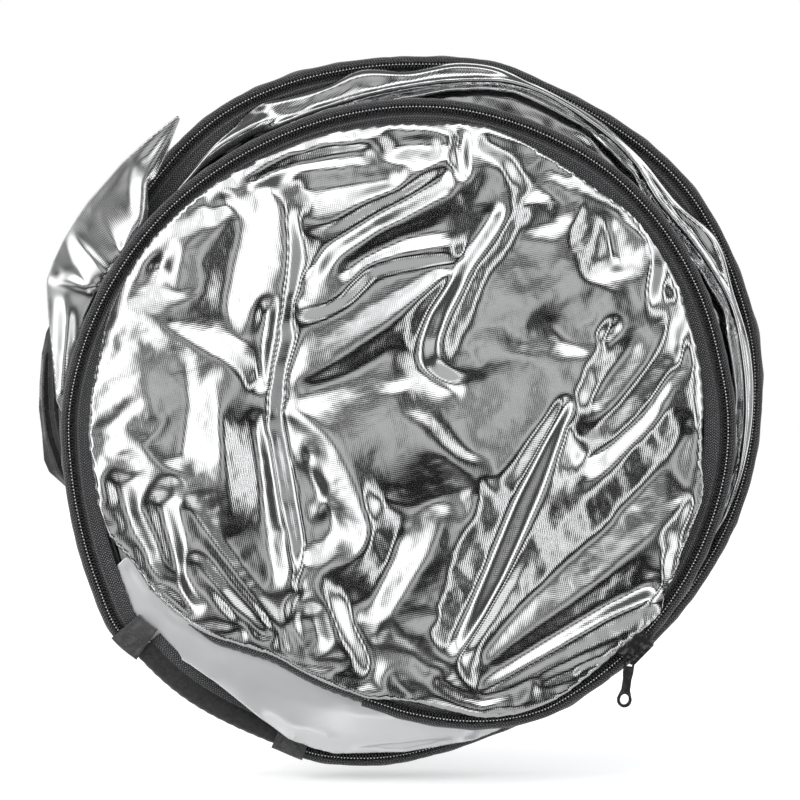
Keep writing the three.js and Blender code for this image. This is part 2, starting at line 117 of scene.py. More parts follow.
FRONT = table([[0, 131.4], [10, 129.8], [20, 129.4], [30, 129.0], [40, 128.6], [50, 127.8], [60, 126.3], [70, 125.1],
    [80, 124.1], [90, 122.9], [100, 121.8], [110, 121.2], [120, 121.4], [130, 122.4], [140, 124.0], [150, 125.7],
    [160, 127.8], [170, 130.2], [180, 132.6], [190, 133.8], [200, 136.0], [205, 137.6], [210, 139.4], [218, 142.4],
    [224, 140.0], [240, 128.0], [252, 118.0], [262, 115.6], [266, 117.2], [270, 119.6], [275, 122.4], [280, 125.3],
    [285, 128.0], [290, 130.3], [296, 132.2], [302, 132.2], [312, 132.2], [322, 132.2], [332, 132.2], [342, 132.2], [352, 132.2]])
MIDDLE = table([[0, 144.2], [10, 146.0], [20, 146.6], [30, 147.4], [38, 147.8], [46, 146.8], [56, 145.0], [66, 144.0],
    [74, 145.0], [80, 143.8], [86, 142.4], [92, 141.8], [100, 141.5], [110, 141.7], [120, 141.5], [127, 140.2],
    [134, 138.2], [142, 136.6], [152, 135.6], [164, 135.6], [176, 136.0], [188, 135.6], [200, 136.0], [210, 138.2],
    [218, 140.6], [226, 141.3], [234, 142.0], [242, 142.0], [250, 142.2], [256, 143.2], [261, 142.3], [266, 141.0],
    [271, 139.2], [276, 137.0], [281, 135.2], [287, 133.6], [296, 133.0], [305, 134.0], [314, 135.8], [324, 137.4],
    [334, 139.4], [344, 141.6], [352, 143.0]])
REAR = table([[0, 137.0], [20, 138.6], [45, 139.0], [70, 137.4], [95, 136.0], [120, 135.2], [145, 134.4], [165, 134.6],
    [185, 135.2], [200, 135.4], [214, 137.2], [228, 137.6], [245, 137.0], [265, 135.4], [285, 132.6], [305, 132.0],
    [325, 134.0], [345, 136.0]])


def smooth(e0, e1, x):
    t = np.clip((np.asarray(x, float) - e0) / (e1 - e0), 0, 1)
    return t * t * (3 - 2 * t)


# ---------------------------------------------------------------- meshes
def make(name, verts, faces, uv=None, smooth_shade=True):
    """verts in mm; uv one pair per vertex, in mm."""
    me = bpy.data.meshes.new(name)
    sizes = np.array([len(f) for f in faces], dtype=np.int32)
    loops = np.concatenate([np.asarray(f) for f in faces]).astype(np.int32)
    me.vertices.add(len(verts))
    me.vertices.foreach_set("co", (np.asarray(verts) * MM).astype(np.float32).ravel())
    me.loops.add(len(loops))
    me.loops.foreach_set("vertex_index", loops)
    me.polygons.add(len(sizes))
    me.polygons.foreach_set("loop_start", np.concatenate([[0], np.cumsum(sizes)[:-1]]).astype(np.int32))
    me.update(calc_edges=True)
    if uv is not None:
        layer = me.uv_layers.new(name="cloth")
        idx = np.empty(len(me.loops), dtype=np.int64)
        me.loops.foreach_get("vertex_index", idx)
        layer.data.foreach_set("uv", (np.asarray(uv)[idx] * 0.01).astype(np.float32).ravel())
    if smooth_shade:
        me.polygons.foreach_set("use_smooth", np.ones(len(me.polygons), dtype=bool))
    ob = bpy.data.objects.new(name, me)
    bpy.context.scene.collection.objects.link(ob)
    return ob


def sweep(name, curve, degs, section, uvscale=1.0, caps=True):
    """A closed bar along a rim. curve(deg) gives the edge radius in mm, section(deg) a list of (rho, y) corners in
    mm, rho inward from the edge. Returns an object."""
    degs = np.asarray(degs, float)
    a = np.radians(degs)
    r = curve(degs)
    P = np.stack([r * np.cos(a) + HUB[0], r * np.sin(a) + HUB[1]], 1)
    T = np.gradient(P, axis=0)
    T /= np.linalg.norm(T, axis=1)[:, None]
    N = np.stack([T[:, 1], -T[:, 0]], 1)          # outward normal for a counter-clockwise path
    s = np.concatenate([[0], np.cumsum(np.linalg.norm(np.diff(P, axis=0), axis=1))])
    V, UV = [], []
    k = None
    for i, d in enumerate(degs):
        sec = np.asarray(section(d), float)
        k = len(sec)
        per = np.concatenate([[0], np.cumsum(np.linalg.norm(np.diff(sec, axis=0), axis=1))])
        for j, (rho, y) in enumerate(sec):
            V.append((P[i, 0] - N[i, 0] * rho, y, P[i, 1] - N[i, 1] * rho))
            UV.append((s[i] * uvscale, per[j] * uvscale))
    n = len(degs)
    F = []
    for i in range(n - 1):
        for j in range(k):
            j2 = (j + 1) % k
            F.append((i * k + j, (i + 1) * k + j, (i + 1) * k + j2, i * k + j2))
    if caps:
        F.append(tuple(range(k)))
        F.append(tuple((n - 1) * k + j for j in reversed(range(k))))
    ob = make(name, V, F, UV)
    return outward(ob)


def outward(ob):
    """Turns a closed mesh's faces outward."""
    import bmesh
    bm = bmesh.new()
    bm.from_mesh(ob.data)
    bmesh.ops.recalc_face_normals(bm, faces=bm.faces)
    bm.to_mesh(ob.data)
    bm.free()
    return ob


def rounded(r0, r1, y0, y1, c, n=3):
    """Rounded rectangle section (rho, y), corner radius c."""
    pts = []
    for cx, cy, a0 in ((r1 - c, y0 + c, -90), (r1 - c, y1 - c, 0), (r0 + c, y1 - c, 90), (r0 + c, y0 + c, 180)):
        for i in range(n + 1):
            a = math.radians(a0 + 90 * i / n)
            pts.append((cx + c * math.cos(a), cy + c * math.sin(a)))
    return pts


def sheet_grid(outline, step, angle=0.0):
    """Quads of a turned square grid inside an (x, z) outline, with the border snapped onto it.
    Returns points (n, 2), faces, a mask of border points, each point's distance to the border and a locator that gives
    the four grid points round a place and their shares."""
    o = np.asarray(outline, float)
    seg = np.linalg.norm(np.diff(np.vstack([o, o[:1]]), axis=0), axis=1)
    dense = []
    for p, q, L in zip(o, np.roll(o, -1, 0), seg):
        n = max(1, int(L / 0.3))
        dense.append(p + (q - p) * (np.arange(n) / n)[:, None])
    dense = np.vstack(dense)
    c, s = math.cos(angle), math.sin(angle)
    rot = np.array([[c, -s], [s, c]])
    g = o @ rot
    lo, hi = g.min(0) - step, g.max(0) + step
    nx, ny = int((hi[0] - lo[0]) / step) + 2, int((hi[1] - lo[1]) / step) + 2
    X, Y = np.meshgrid(lo[0] + np.arange(nx) * step, lo[1] + np.arange(ny) * step, indexing="ij")
    pts = np.stack([X.ravel(), Y.ravel()], 1) @ rot.T

    def inside(p):
        x, y = p[:, 0], p[:, 1]
        res = np.zeros(len(p), bool)
        for a, b in zip(o, np.roll(o, -1, 0)):
            cond = (a[1] > y) != (b[1] > y)
            xx = (b[0] - a[0]) * (y - a[1]) / (b[1] - a[1] + 1e-12) + a[0]
            res ^= cond & (x < xx)
        return res

    centre = (pts.reshape(nx, ny, 2)[:-1, :-1] + pts.reshape(nx, ny, 2)[1:, 1:]) / 2
    keep = inside(centre.reshape(-1, 2)).reshape(nx - 1, ny - 1)
    for _ in range(4):                       # no cell hangs on by one edge or a corner
        pad = np.pad(keep, 1)
        nb = pad[:-2, 1:-1].astype(int) + pad[2:, 1:-1] + pad[1:-1, :-2] + pad[1:-1, 2:]
        keep &= nb >= 2
    ii, jj = np.nonzero(keep)
    q = np.stack([ii * ny + jj, (ii + 1) * ny + jj, (ii + 1) * ny + jj + 1, ii * ny + jj + 1], 1)
    used, inv = np.unique(q, return_inverse=True)
    q = inv.reshape(q.shape)
    index = np.full(nx * ny, -1)
    index[used] = np.arange(len(used))
    pts = pts[used].copy()
    count = np.zeros(len(pts), int)
    np.add.at(count, q.ravel(), 1)
    border = count < 4
    from mathutils import kdtree
    kd = kdtree.KDTree(len(dense))
    for i, p in enumerate(dense):
        kd.insert((p[0], p[1], 0), i)
    kd.balance()
    dist = np.zeros(len(pts))
    for i, p in enumerate(pts):
        co, _, d = kd.find((p[0], p[1], 0))
        dist[i] = d
        if border[i]:
            pts[i] += 0.92 * (np.array([co[0], co[1]]) - pts[i])
            dist[i] = 0

    def locate(p):
        u = (np.asarray(p, float) @ rot - lo) / step
        i = np.clip(np.floor(u).astype(int), 0, [nx - 2, ny - 2])
        f = u - i
        ids = np.stack([index[i[:, 0] * ny + i[:, 1]], index[(i[:, 0] + 1) * ny + i[:, 1]],
                        index[i[:, 0] * ny + i[:, 1] + 1], index[(i[:, 0] + 1) * ny + i[:, 1] + 1]], 1)
        w = np.stack([(1 - f[:, 0]) * (1 - f[:, 1]), f[:, 0] * (1 - f[:, 1]), (1 - f[:, 0]) * f[:, 1], f[:, 0] * f[:, 1]], 1)
        ok = (ids >= 0).all(1)
        return ids[ok], w[ok], ok

    return pts, q, border, dist, locate


def tension(points, faces, border, locate, lines, edge_height, weight=2.0, soften=2, step=1.0, iters=420):
    """Height of a taut skin held up along each fold line [(x, z, height)] and held down at its border: flat or saddle
    shaped between the lines and creased along them."""
    n = len(points)
    e = np.concatenate([faces[:, [0, 1]], faces[:, [1, 2]], faces[:, [2, 3]], faces[:, [3, 0]]])
    e = np.unique(np.sort(e, 1), axis=0)
    I, W, T, K = [], [], [], []
    for line in lines:
        k = weight
        if isinstance(line, tuple):
            line, k = line
        line = np.asarray(line, float)
        for p, q in zip(line[:-1], line[1:]):
            m = max(2, int(np.linalg.norm(q[:2] - p[:2]) / (step * 0.5)))
            t = (np.arange(m) / m)[:, None]
            s = p + (q - p) * t
            ids, w, ok = locate(s[:, :2])
            I.append(ids)
            W.append(w)
            T.append(s[ok, 2])
            K.append(np.full(len(ids), k))
    I, W, T, K = np.vstack(I), np.vstack(W), np.concatenate(T), np.concatenate(K)
    free = ~border
    h0 = np.where(border, edge_height, 0.0)

    def A(x):
        d = x[e[:, 0]] - x[e[:, 1]]
        y = np.bincount(e[:, 0], d, n) - np.bincount(e[:, 1], d, n)
        r = (W * x[I]).sum(1) * K
        return y + np.bincount(I.ravel(), (W * r[:, None]).ravel(), n)

    b = np.bincount(I.ravel(), (W * (K * T)[:, None]).ravel(), n) - A(h0)
    b[border] = 0
    x = np.zeros(n)
    r = b.copy()
    p = r.copy()
    rs = r @ r
    for _ in range(iters):
        Ap = A(p)
        Ap[border] = 0
        al = rs / max(p @ Ap, 1e-30)
        x += al * p
        r -= al * Ap
        new = r @ r
        if new < 1e-9:
            break
        p = r + p * (new / rs)
        rs = new
    h = h0 + x
    deg = np.bincount(e.ravel(), minlength=n)
    for _ in range(soften):
        s = np.bincount(e[:, 0], h[e[:, 1]], n) + np.bincount(e[:, 1], h[e[:, 0]], n)
        h = np.where(free, 0.5 * h + 0.5 * s / deg, h)
    return h, e


def L3(points):
    """[(board x, board y, height mm)] to row millimetres (x, z, height)."""
    p = np.asarray(points, float)
    return np.column_stack([board(p[:, :2]), p[:, 2]])


def value_noise(p, scale, seed, octaves=3):
    """Smooth value noise on (n, 2) points."""
    out = np.zeros(len(p))
    amp, tot = 1.0, 0.0
    for o in range(octaves):
        rng = np.random.default_rng(seed * 17 + o)
        q = p / scale * (2 ** o) + 100.0
        i = np.floor(q).astype(int)
        f = q - i
        f = f * f * f * (f * (f * 6 - 15) + 10)
        G = rng.standard_normal((512, 512))
        a = G[i[:, 0] % 512, i[:, 1] % 512]
        b = G[(i[:, 0] + 1) % 512, i[:, 1] % 512]
        c = G[i[:, 0] % 512, (i[:, 1] + 1) % 512]
        d = G[(i[:, 0] + 1) % 512, (i[:, 1] + 1) % 512]
        out += amp * ((a * (1 - f[:, 0]) + b * f[:, 0]) * (1 - f[:, 1]) + (c * (1 - f[:, 0]) + d * f[:, 0]) * f[:, 1])
        tot += amp
        amp *= 0.5
    return out / tot


def ridged(p, scale, seed, stretch=1.0, angle=0.0, octaves=3):
    c, s = math.cos(angle), math.sin(angle)
    q = np.stack([p[:, 0] * c + p[:, 1] * s, (-p[:, 0] * s + p[:, 1] * c) * stretch], 1)
    warp = np.stack([value_noise(p, scale * 2.5, seed + 5), value_noise(p, scale * 2.5, seed + 9)], 1) * scale * 0.7
    return 1 - np.abs(value_noise(q + warp, scale, seed, octaves)) * 1.6


def relax(verts, faces, pins, frames=24, grow=0.10, stiff=6.0, bend=0.4, pressure=0.0, scale=8.0, damping=6.0, steps=6):
    """Blender cloth on a copy of the sheet: its cloth is grow larger than its rim allows, so it buckles."""
    me = bpy.data.meshes.new("sim")
    me.from_pydata([tuple(v) for v in verts * MM * scale], [], [tuple(int(i) for i in f) for f in faces])
    ob = bpy.data.objects.new("sim", me)
    bpy.context.scene.collection.objects.link(ob)
    vg = ob.vertex_groups.new(name="pin")
    for w in np.unique(pins[pins > 0]):
        vg.add([int(i) for i in np.nonzero(pins == w)[0]], float(w), "REPLACE")
    mod = ob.modifiers.new("Cloth", "CLOTH")
    s = mod.settings
    s.quality = steps
    s.mass = 0.25
    s.tension_stiffness = stiff
    s.compression_stiffness = stiff
    s.shear_stiffness = stiff * 0.6
    s.bending_stiffness = bend
    s.tension_damping = damping
    s.compression_damping = damping
    s.shear_damping = damping
    s.bending_damping = 1.0
    s.air_damping = 2.0
    s.vertex_group_mass = "pin"
    s.pin_stiffness = 1.0
    s.shrink_min = -grow
    s.shrink_max = -grow
    s.effector_weights.gravity = 0.0
    if pressure:
        s.use_pressure = True
        s.uniform_pressure_force = pressure
    mod.collision_settings.use_collision = False
    mod.collision_settings.use_self_collision = False
    mod.point_cache.frame_start = 1
    mod.point_cache.frame_end = frames + 1
    sc = bpy.context.scene
    sc.frame_set(0)
    bpy.context.view_layer.update()
    for f in range(1, frames + 1):
        sc.frame_set(f)
    dg = bpy.context.evaluated_depsgraph_get()
    ev = ob.evaluated_get(dg)
    m = ev.to_mesh()
    out = np.empty(len(m.vertices) * 3, dtype=np.float32)
    m.vertices.foreach_get("co", out)
    ev.to_mesh_clear()
    bpy.data.objects.remove(ob)
    bpy.data.meshes.remove(me)
    sc.frame_set(1)
    return out.reshape(-1, 3).astype(float) / (MM * scale)


def squeeze(y, low, high, soft=2.0):
    """Keeps y between low and high, with a soft approach to each end."""
    y = np.where(y < low + soft, low + soft - soft * (1 - np.exp(-(low + soft - y) / soft)), y)
    return np.where(y > high - soft, high - soft + soft * (1 - np.exp(-(y - high + soft) / soft)), y)


def finish_sheet(name, verts, faces, uv, levels=1, thick=0.25, mat=None):
    ob = make(name, verts, faces, uv)
    m = ob.modifiers.new("fine", "SUBSURF")
    m.levels = m.render_levels = levels
    m = ob.modifiers.new("thick", "SOLIDIFY")
    m.thickness = thick * MM
    m.offset = -1
    if mat:
        ob.data.materials.append(mat)
    return ob


# ---------------------------------------------------------------- materials
class Nodes:
    def __init__(self, name):
        self.m = bpy.data.materials.new(name)
        self.m.use_nodes = True
        self.t = self.m.node_tree
        self.b = self.t.nodes["Principled BSDF"]

    def n(self, kind, **kw):
        x = self.t.nodes.new(kind)
        for k, v in kw.items():
            setattr(x, k, v)
        return x

    def link(self, a, b):
        self.t.links.new(a, b)

    def val(self, op, a, b=None, c=None):
        x = self.n("ShaderNodeMath", operation=op)
        for i, v in enumerate((a, b, c)):
            if v is None:
                continue
            if isinstance(v, (int, float)):
                x.inputs[i].default_value = v
            else:
                self.link(v, x.inputs[i])
        return x.outputs[0]

    def noise(self, scale, detail=3.0, rough=0.5, vec=None, dist=0.0):
        x = self.n("ShaderNodeTexNoise")
        x.inputs["Scale"].default_value = scale
        x.inputs["Detail"].default_value = detail
        x.inputs["Roughness"].default_value = rough
        x.inputs["Distortion"].default_value = dist
        if vec is not None:
            self.link(vec, x.inputs["Vector"])
        return x.outputs[0]

    def ramp(self, fac, stops):
        x = self.n("ShaderNodeValToRGB")
        e = x.color_ramp.elements
        while len(e) < len(stops):
            e.new(0.5)
        for el, (p, c) in zip(e, stops):
            el.position = p
            el.color = (c[0], c[1], c[2], 1) if hasattr(c, "__len__") else (c, c, c, 1)
        self.link(fac, x.inputs[0])
        return x.outputs[0]

    def obj(self):
        return self.n("ShaderNodeTexCoord").outputs["Object"]

    def uv(self, rot=0.0):
        """UV in mm, turned by rot."""
        u = self.n("ShaderNodeTexCoord").outputs["UV"]
        mp = self.n("ShaderNodeMapping")
        mp.inputs["Scale"].default_value = (100, 100, 100)
        mp.inputs["Rotation"].default_value = (0, 0, rot)
        self.link(u, mp.inputs["Vector"])
        return mp.outputs[0]

    def bump(self, height, strength, distance, prev=None):
        x = self.n("ShaderNodeBump")
        x.inputs["Strength"].default_value = strength
        x.inputs["Distance"].default_value = distance
        self.link(height, x.inputs["Height"])
        if prev is not None:
            self.link(prev, x.inputs["Normal"])
        return x.outputs[0]

    def set(self, **kw):
        names = {"base": "Base Color", "rough": "Roughness", "metal": "Metallic", "normal": "Normal", "spec": "Specular IOR Level",
                 "sheen": "Sheen Weight", "sheen_r": "Sheen Roughness", "coat": "Coat Weight", "coat_r": "Coat Roughness",
                 "trans": "Transmission Weight", "sub": "Subsurface Weight"}
        for k, v in kw.items():
            i = self.b.inputs[names[k]]
            if isinstance(v, (int, float)):
                i.default_value = v
            elif isinstance(v, tuple):
                i.default_value = (*v, 1) if len(v) == 3 else v
            else:
                self.link(v, i)


def weave(N, vec, pitch):
    """Plain weave height, 0 to 1, threads pitch mm apart."""
    sep = N.n("ShaderNodeSeparateXYZ")
    N.link(vec, sep.inputs[0])
    k = 2 * math.pi / pitch
    su = N.val("SINE", N.val("MULTIPLY", sep.outputs[0], k))
    sv = N.val("SINE", N.val("MULTIPLY", sep.outputs[1], k))
    a = N.val("MULTIPLY", su, sv)
    return N.val("MULTIPLY_ADD", a, 0.5, 0.5)


def silver_material(name, rot=0.6, pitch=1.05, crinkle=1.0, metal=1.0, thread=0.24, depth=0.000016, gloss=0.055, tint=1.0):
    N = Nodes(name)
    uv = N.uv(rot)
    o = N.obj()
    w = weave(N, uv, pitch)
    big = N.noise(22.0, 3.0, 0.55, o)
    fine = N.noise(260.0, 4.0, 0.62, o, 0.4)
    micro = N.noise(1500.0, 2.0, 0.5, o)
    rough = N.val("MULTIPLY_ADD", big, 0.09, gloss)
    rough = N.val("MULTIPLY_ADD", fine, 0.05, rough)
    tone = N.ramp(big, [(0.3, (0.80 * tint, 0.805 * tint, 0.815 * tint)), (0.7, (0.90 * tint, 0.905 * tint, 0.91 * tint))])
    mix = N.n("ShaderNodeMixRGB", blend_type="MULTIPLY")
    mix.inputs[0].default_value = thread
    N.link(tone, mix.inputs[1])
    N.link(N.ramp(w, [(0.0, 0.55), (0.6, 1.0)]), mix.inputs[2])
    h1 = N.bump(w, 1.0, depth)
    h2 = N.bump(fine, 1.0, 0.00003 * crinkle, h1)
    h3 = N.bump(micro, 1.0, 0.000004, h2)
    N.set(base=mix.outputs[0], rough=rough, metal=metal, normal=h3)
    return N.m


def black_cloth_material(name, base=0.018, rough=0.55, pitch=0.5, sheen=0.4, metal=0.0):
    N = Nodes(name)
    uv = N.uv(0.5)
    o = N.obj()
    w = weave(N, uv, pitch)
    big = N.noise(35.0, 3.0, 0.5, o)
    fine = N.noise(700.0, 3.0, 0.6, o)
    col = N.ramp(fine, [(0.3, (base * 0.6, base * 0.6, base * 0.62)), (0.75, (base * 1.9, base * 1.9, base * 1.95))])
    r = N.val("MULTIPLY_ADD", big, 0.25, rough - 0.12)
    h1 = N.bump(w, 0.4, 0.00012)
    h2 = N.bump(fine, 0.2, 0.00015, h1)
    N.set(base=col, rough=r, normal=h2, sheen=sheen, sheen_r=0.4, spec=0.45)
    return N.m


def tape_material(name):
    """Charcoal herringbone zip tape: u runs along the tape, v across it."""
    N = Nodes(name)
    uv = N.uv(0.0)
    sep = N.n("ShaderNodeSeparateXYZ")
    N.link(uv, sep.inputs[0])
    u, v = sep.outputs[0], sep.outputs[1]
    zig = N.val("PINGPONG", v, 1.5)
    s = N.val("SINE", N.val("MULTIPLY", N.val("ADD", u, zig), 2 * math.pi / 1.15))
    thread = N.val("MULTIPLY_ADD", s, 0.5, 0.5)
    rib = N.val("SINE", N.val("MULTIPLY", v, 2 * math.pi / 0.75))
    rib = N.val("MULTIPLY_ADD", rib, 0.5, 0.5)
    h = N.val("MULTIPLY", thread, N.val("MULTIPLY_ADD", rib, 0.5, 0.5))
    o = N.obj()
    speck = N.noise(1500.0, 3.0, 0.8, o)
    big = N.noise(60.0, 3.0, 0.5, o)
    c = N.val("MULTIPLY", h, N.val("MULTIPLY_ADD", speck, 1.5, 0.1))
    col = N.ramp(c, [(0.08, (0.006, 0.006, 0.0065)), (0.42, (0.022, 0.022, 0.023)), (0.72, (0.11, 0.11, 0.115)), (0.98, (0.26, 0.26, 0.27))])
    r = N.val("MULTIPLY_ADD", big, 0.2, 0.62)
    b = N.bump(h, 0.7, 0.00022)
    N.set(base=col, rough=r, normal=b, sheen=0.25, spec=0.4)
    return N.m


def satin_material(name, base=0.012):
    N = Nodes(name)
    uv = N.uv(0.0)
    sep = N.n("ShaderNodeSeparateXYZ")
    N.link(uv, sep.inputs[0])
    s = N.val("SINE", N.val("MULTIPLY", sep.outputs[1], 2 * math.pi / 0.35))
    o = N.obj()
    big = N.noise(90.0, 4.0, 0.55, o, 0.6)
    fine = N.noise(900.0, 2.0, 0.6, o)
    col = N.ramp(big, [(0.3, (base * 0.6,) * 3), (0.75, (base * 2.2,) * 3)])
    folds = N.noise(330.0, 3.0, 0.6, o, 1.2)
    h1 = N.bump(N.val("MULTIPLY_ADD", s, 0.5, 0.5), 0.25, 0.00008)
    h2 = N.bump(fine, 0.2, 0.0001, h1)
    h3 = N.bump(folds, 0.9, 0.0009, h2)
    N.set(base=col, rough=N.val("MULTIPLY_ADD", big, 0.2, 0.18), normal=h3, sheen=0.15, spec=1.0, coat=0.5, coat_r=0.25)
    return N.m


def coil_material(name):
    N = Nodes(name)
    o = N.obj()
    a = N.noise(900.0, 3.0, 0.5, o)
    b = N.noise(60.0, 2.0, 0.5, o)
    sep = N.n("ShaderNodeSeparateXYZ")
    N.link(N.uv(0.0), sep.inputs[0])
    # painted glint: a bright, partly metallic colour is mixed in at the middle of each outer tooth's head, masked by
    # the UV's u; the nylon itself is black
    painted_glint = N.ramp(N.val("ADD", sep.outputs[0], N.val("MULTIPLY_ADD", a, 0.16, -0.08)), [(0.50, 0.0), (0.62, 1.0)])
    dark = N.ramp(b, [(0.3, (0.006, 0.006, 0.0065)), (0.8, (0.014, 0.014, 0.015))])
    mix = N.n("ShaderNodeMixRGB")
    N.link(painted_glint, mix.inputs[0])
    N.link(dark, mix.inputs[1])
    # colour of the painted glint
    mix.inputs[2].default_value = (0.80, 0.80, 0.80, 1)
    col = mix.outputs[0]
    N.set(base=col, metal=N.val("MULTIPLY", painted_glint, 0.6), rough=N.val("MULTIPLY_ADD", a, 0.14, 0.12), spec=0.85, coat=0.3, coat_r=0.1, normal=N.bump(a, 0.15, 0.00006))
    return N.m


def paint_material(name):
    """Black enamel with small bright worn spots and edges."""
    N = Nodes(name)
    o = N.obj()
    geo = N.n("ShaderNodeNewGeometry")
    edge = N.ramp(geo.outputs["Pointiness"], [(0.53, 0.0), (0.62, 1.0)])
    chips = N.ramp(N.noise(1300.0, 4.0, 0.7, o), [(0.70, 0.0), (0.76, 1.0)])
    wear = N.val("MULTIPLY", N.ramp(N.noise(420.0, 3.0, 0.6, o), [(0.50, 0.0), (0.62, 1.0)]), edge)
    wear = N.val("MAXIMUM", N.val("MULTIPLY", wear, 0.10), N.val("MULTIPLY", chips, 0.03))
    col = N.n("ShaderNodeMixRGB")
    N.link(wear, col.inputs[0])
    col.inputs[1].default_value = (0.007, 0.007, 0.0075, 1)
    col.inputs[2].default_value = (0.62, 0.61, 0.59, 1)
    fine = N.noise(2600.0, 2.0, 0.5, o)
    rough = N.val("MULTIPLY_ADD", fine, 0.16, 0.22)
    N.set(base=col.outputs[0], metal=wear, rough=rough, coat=0.4, coat_r=0.15, normal=N.bump(fine, 0.12, 0.00005))
    return N.m


def steel_material(name, tint=(0.33, 0.36, 0.42)):
    N = Nodes(name)
    o = N.obj()
    streak = N.noise(900.0, 4.0, 0.6, o)
    big = N.noise(40.0, 3.0, 0.5, o)
    col = N.ramp(big, [(0.3, tint), (0.7, tuple(c * 1.5 for c in tint))])
    N.set(base=col, metal=1.0, rough=N.val("MULTIPLY_ADD", streak, 0.2, 0.22), normal=N.bump(streak, 0.15, 0.00005))
    return N.m


def white_cloth_material(name):
    N = Nodes(name)
    o = N.obj()
    fine = N.noise(1200.0, 3.0, 0.6, o)
    big = N.noise(30.0, 3.0, 0.5, o)
    col = N.ramp(big, [(0.3, (0.80, 0.80, 0.78)), (0.7, (0.90, 0.90, 0.885))])
    N.set(base=col, rough=0.8, sub=0.15, normal=N.bump(fine, 0.35, 0.00012), sheen=0.2)
    return N.m


SILVER = silver_material("silver_cloth_front", 0.62)
SILVER_SIDE = silver_material("silver_cloth_side", 0.2)
SILVER_SOFT = silver_material("silver_cloth_smooth", 1.1, crinkle=0.15, metal=0.62, thread=0.08, depth=0.000006, gloss=0.17, tint=0.90)
BLACK = black_cloth_material("black_cloth")
ELASTIC = black_cloth_material("elastic_cloth", base=0.014, rough=0.8, pitch=0.8, sheen=0.6)
TAPE = tape_material("zip_tape")
SATIN = satin_material("satin_binding")
COIL = coil_material("zip_coil")
PAINT = paint_material("slider_paint")
STEEL = steel_material("spring_steel")
FERRULE = steel_material("ferrule_metal", (0.5, 0.5, 0.5))
WHITE = white_cloth_material("diffuser_cloth")


def put(ob, body, replaces=(), mat=None):
    if mat:
        ob.data.materials.clear()
        ob.data.materials.append(mat)
    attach(ob, body)
    if replaces:
        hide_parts(*replaces)
    return ob


# ---------------------------------------------------------------- front silver cloth
INNER_A = table([[0, 303], [10, 303], [20, 304], [30, 306], [40, 305], [48, 299], [56, 297], [65, 298], [72, 299], [80, 296], [90, 291],
    [100, 290], [110, 290], [120, 291], [130, 294], [140, 299], [150, 303], [160, 305], [170, 308], [180, 311], [190, 312],
    [198, 315], [204, 313], [208, 307.5], [213, 305], [217.6, 304.4], [222, 301], [227.4, 296], [235, 284], [243, 274], [251, 277],
    [259.7, 284], [263, 287.5], [270, 289], [275, 293], [280, 303], [285, 313], [290, 319], [295, 324], [300, 326], [305, 323],
    [310, 322], [315, 323], [320, 326], [323, 327], [326, 319], [330, 319], [334, 314], [340, 316], [345, 314], [350, 306], [355, 303]])
WOBBLE = value_noise(np.stack([np.arange(0, 360, 2.0) * 0.9, np.zeros(180)], 1), 9.0, 3, 2)


def inner_a(deg):
    d = np.mod(np.asarray(deg, float), 360)
    return INNER_A(d) + 1.6 * np.interp(d, np.arange(0, 360, 2.0), WOBBLE, period=360)


degs = np.arange(0, 360, 1.5)
outline_a = rim(np.stack([degs, inner_a(degs)], 1))

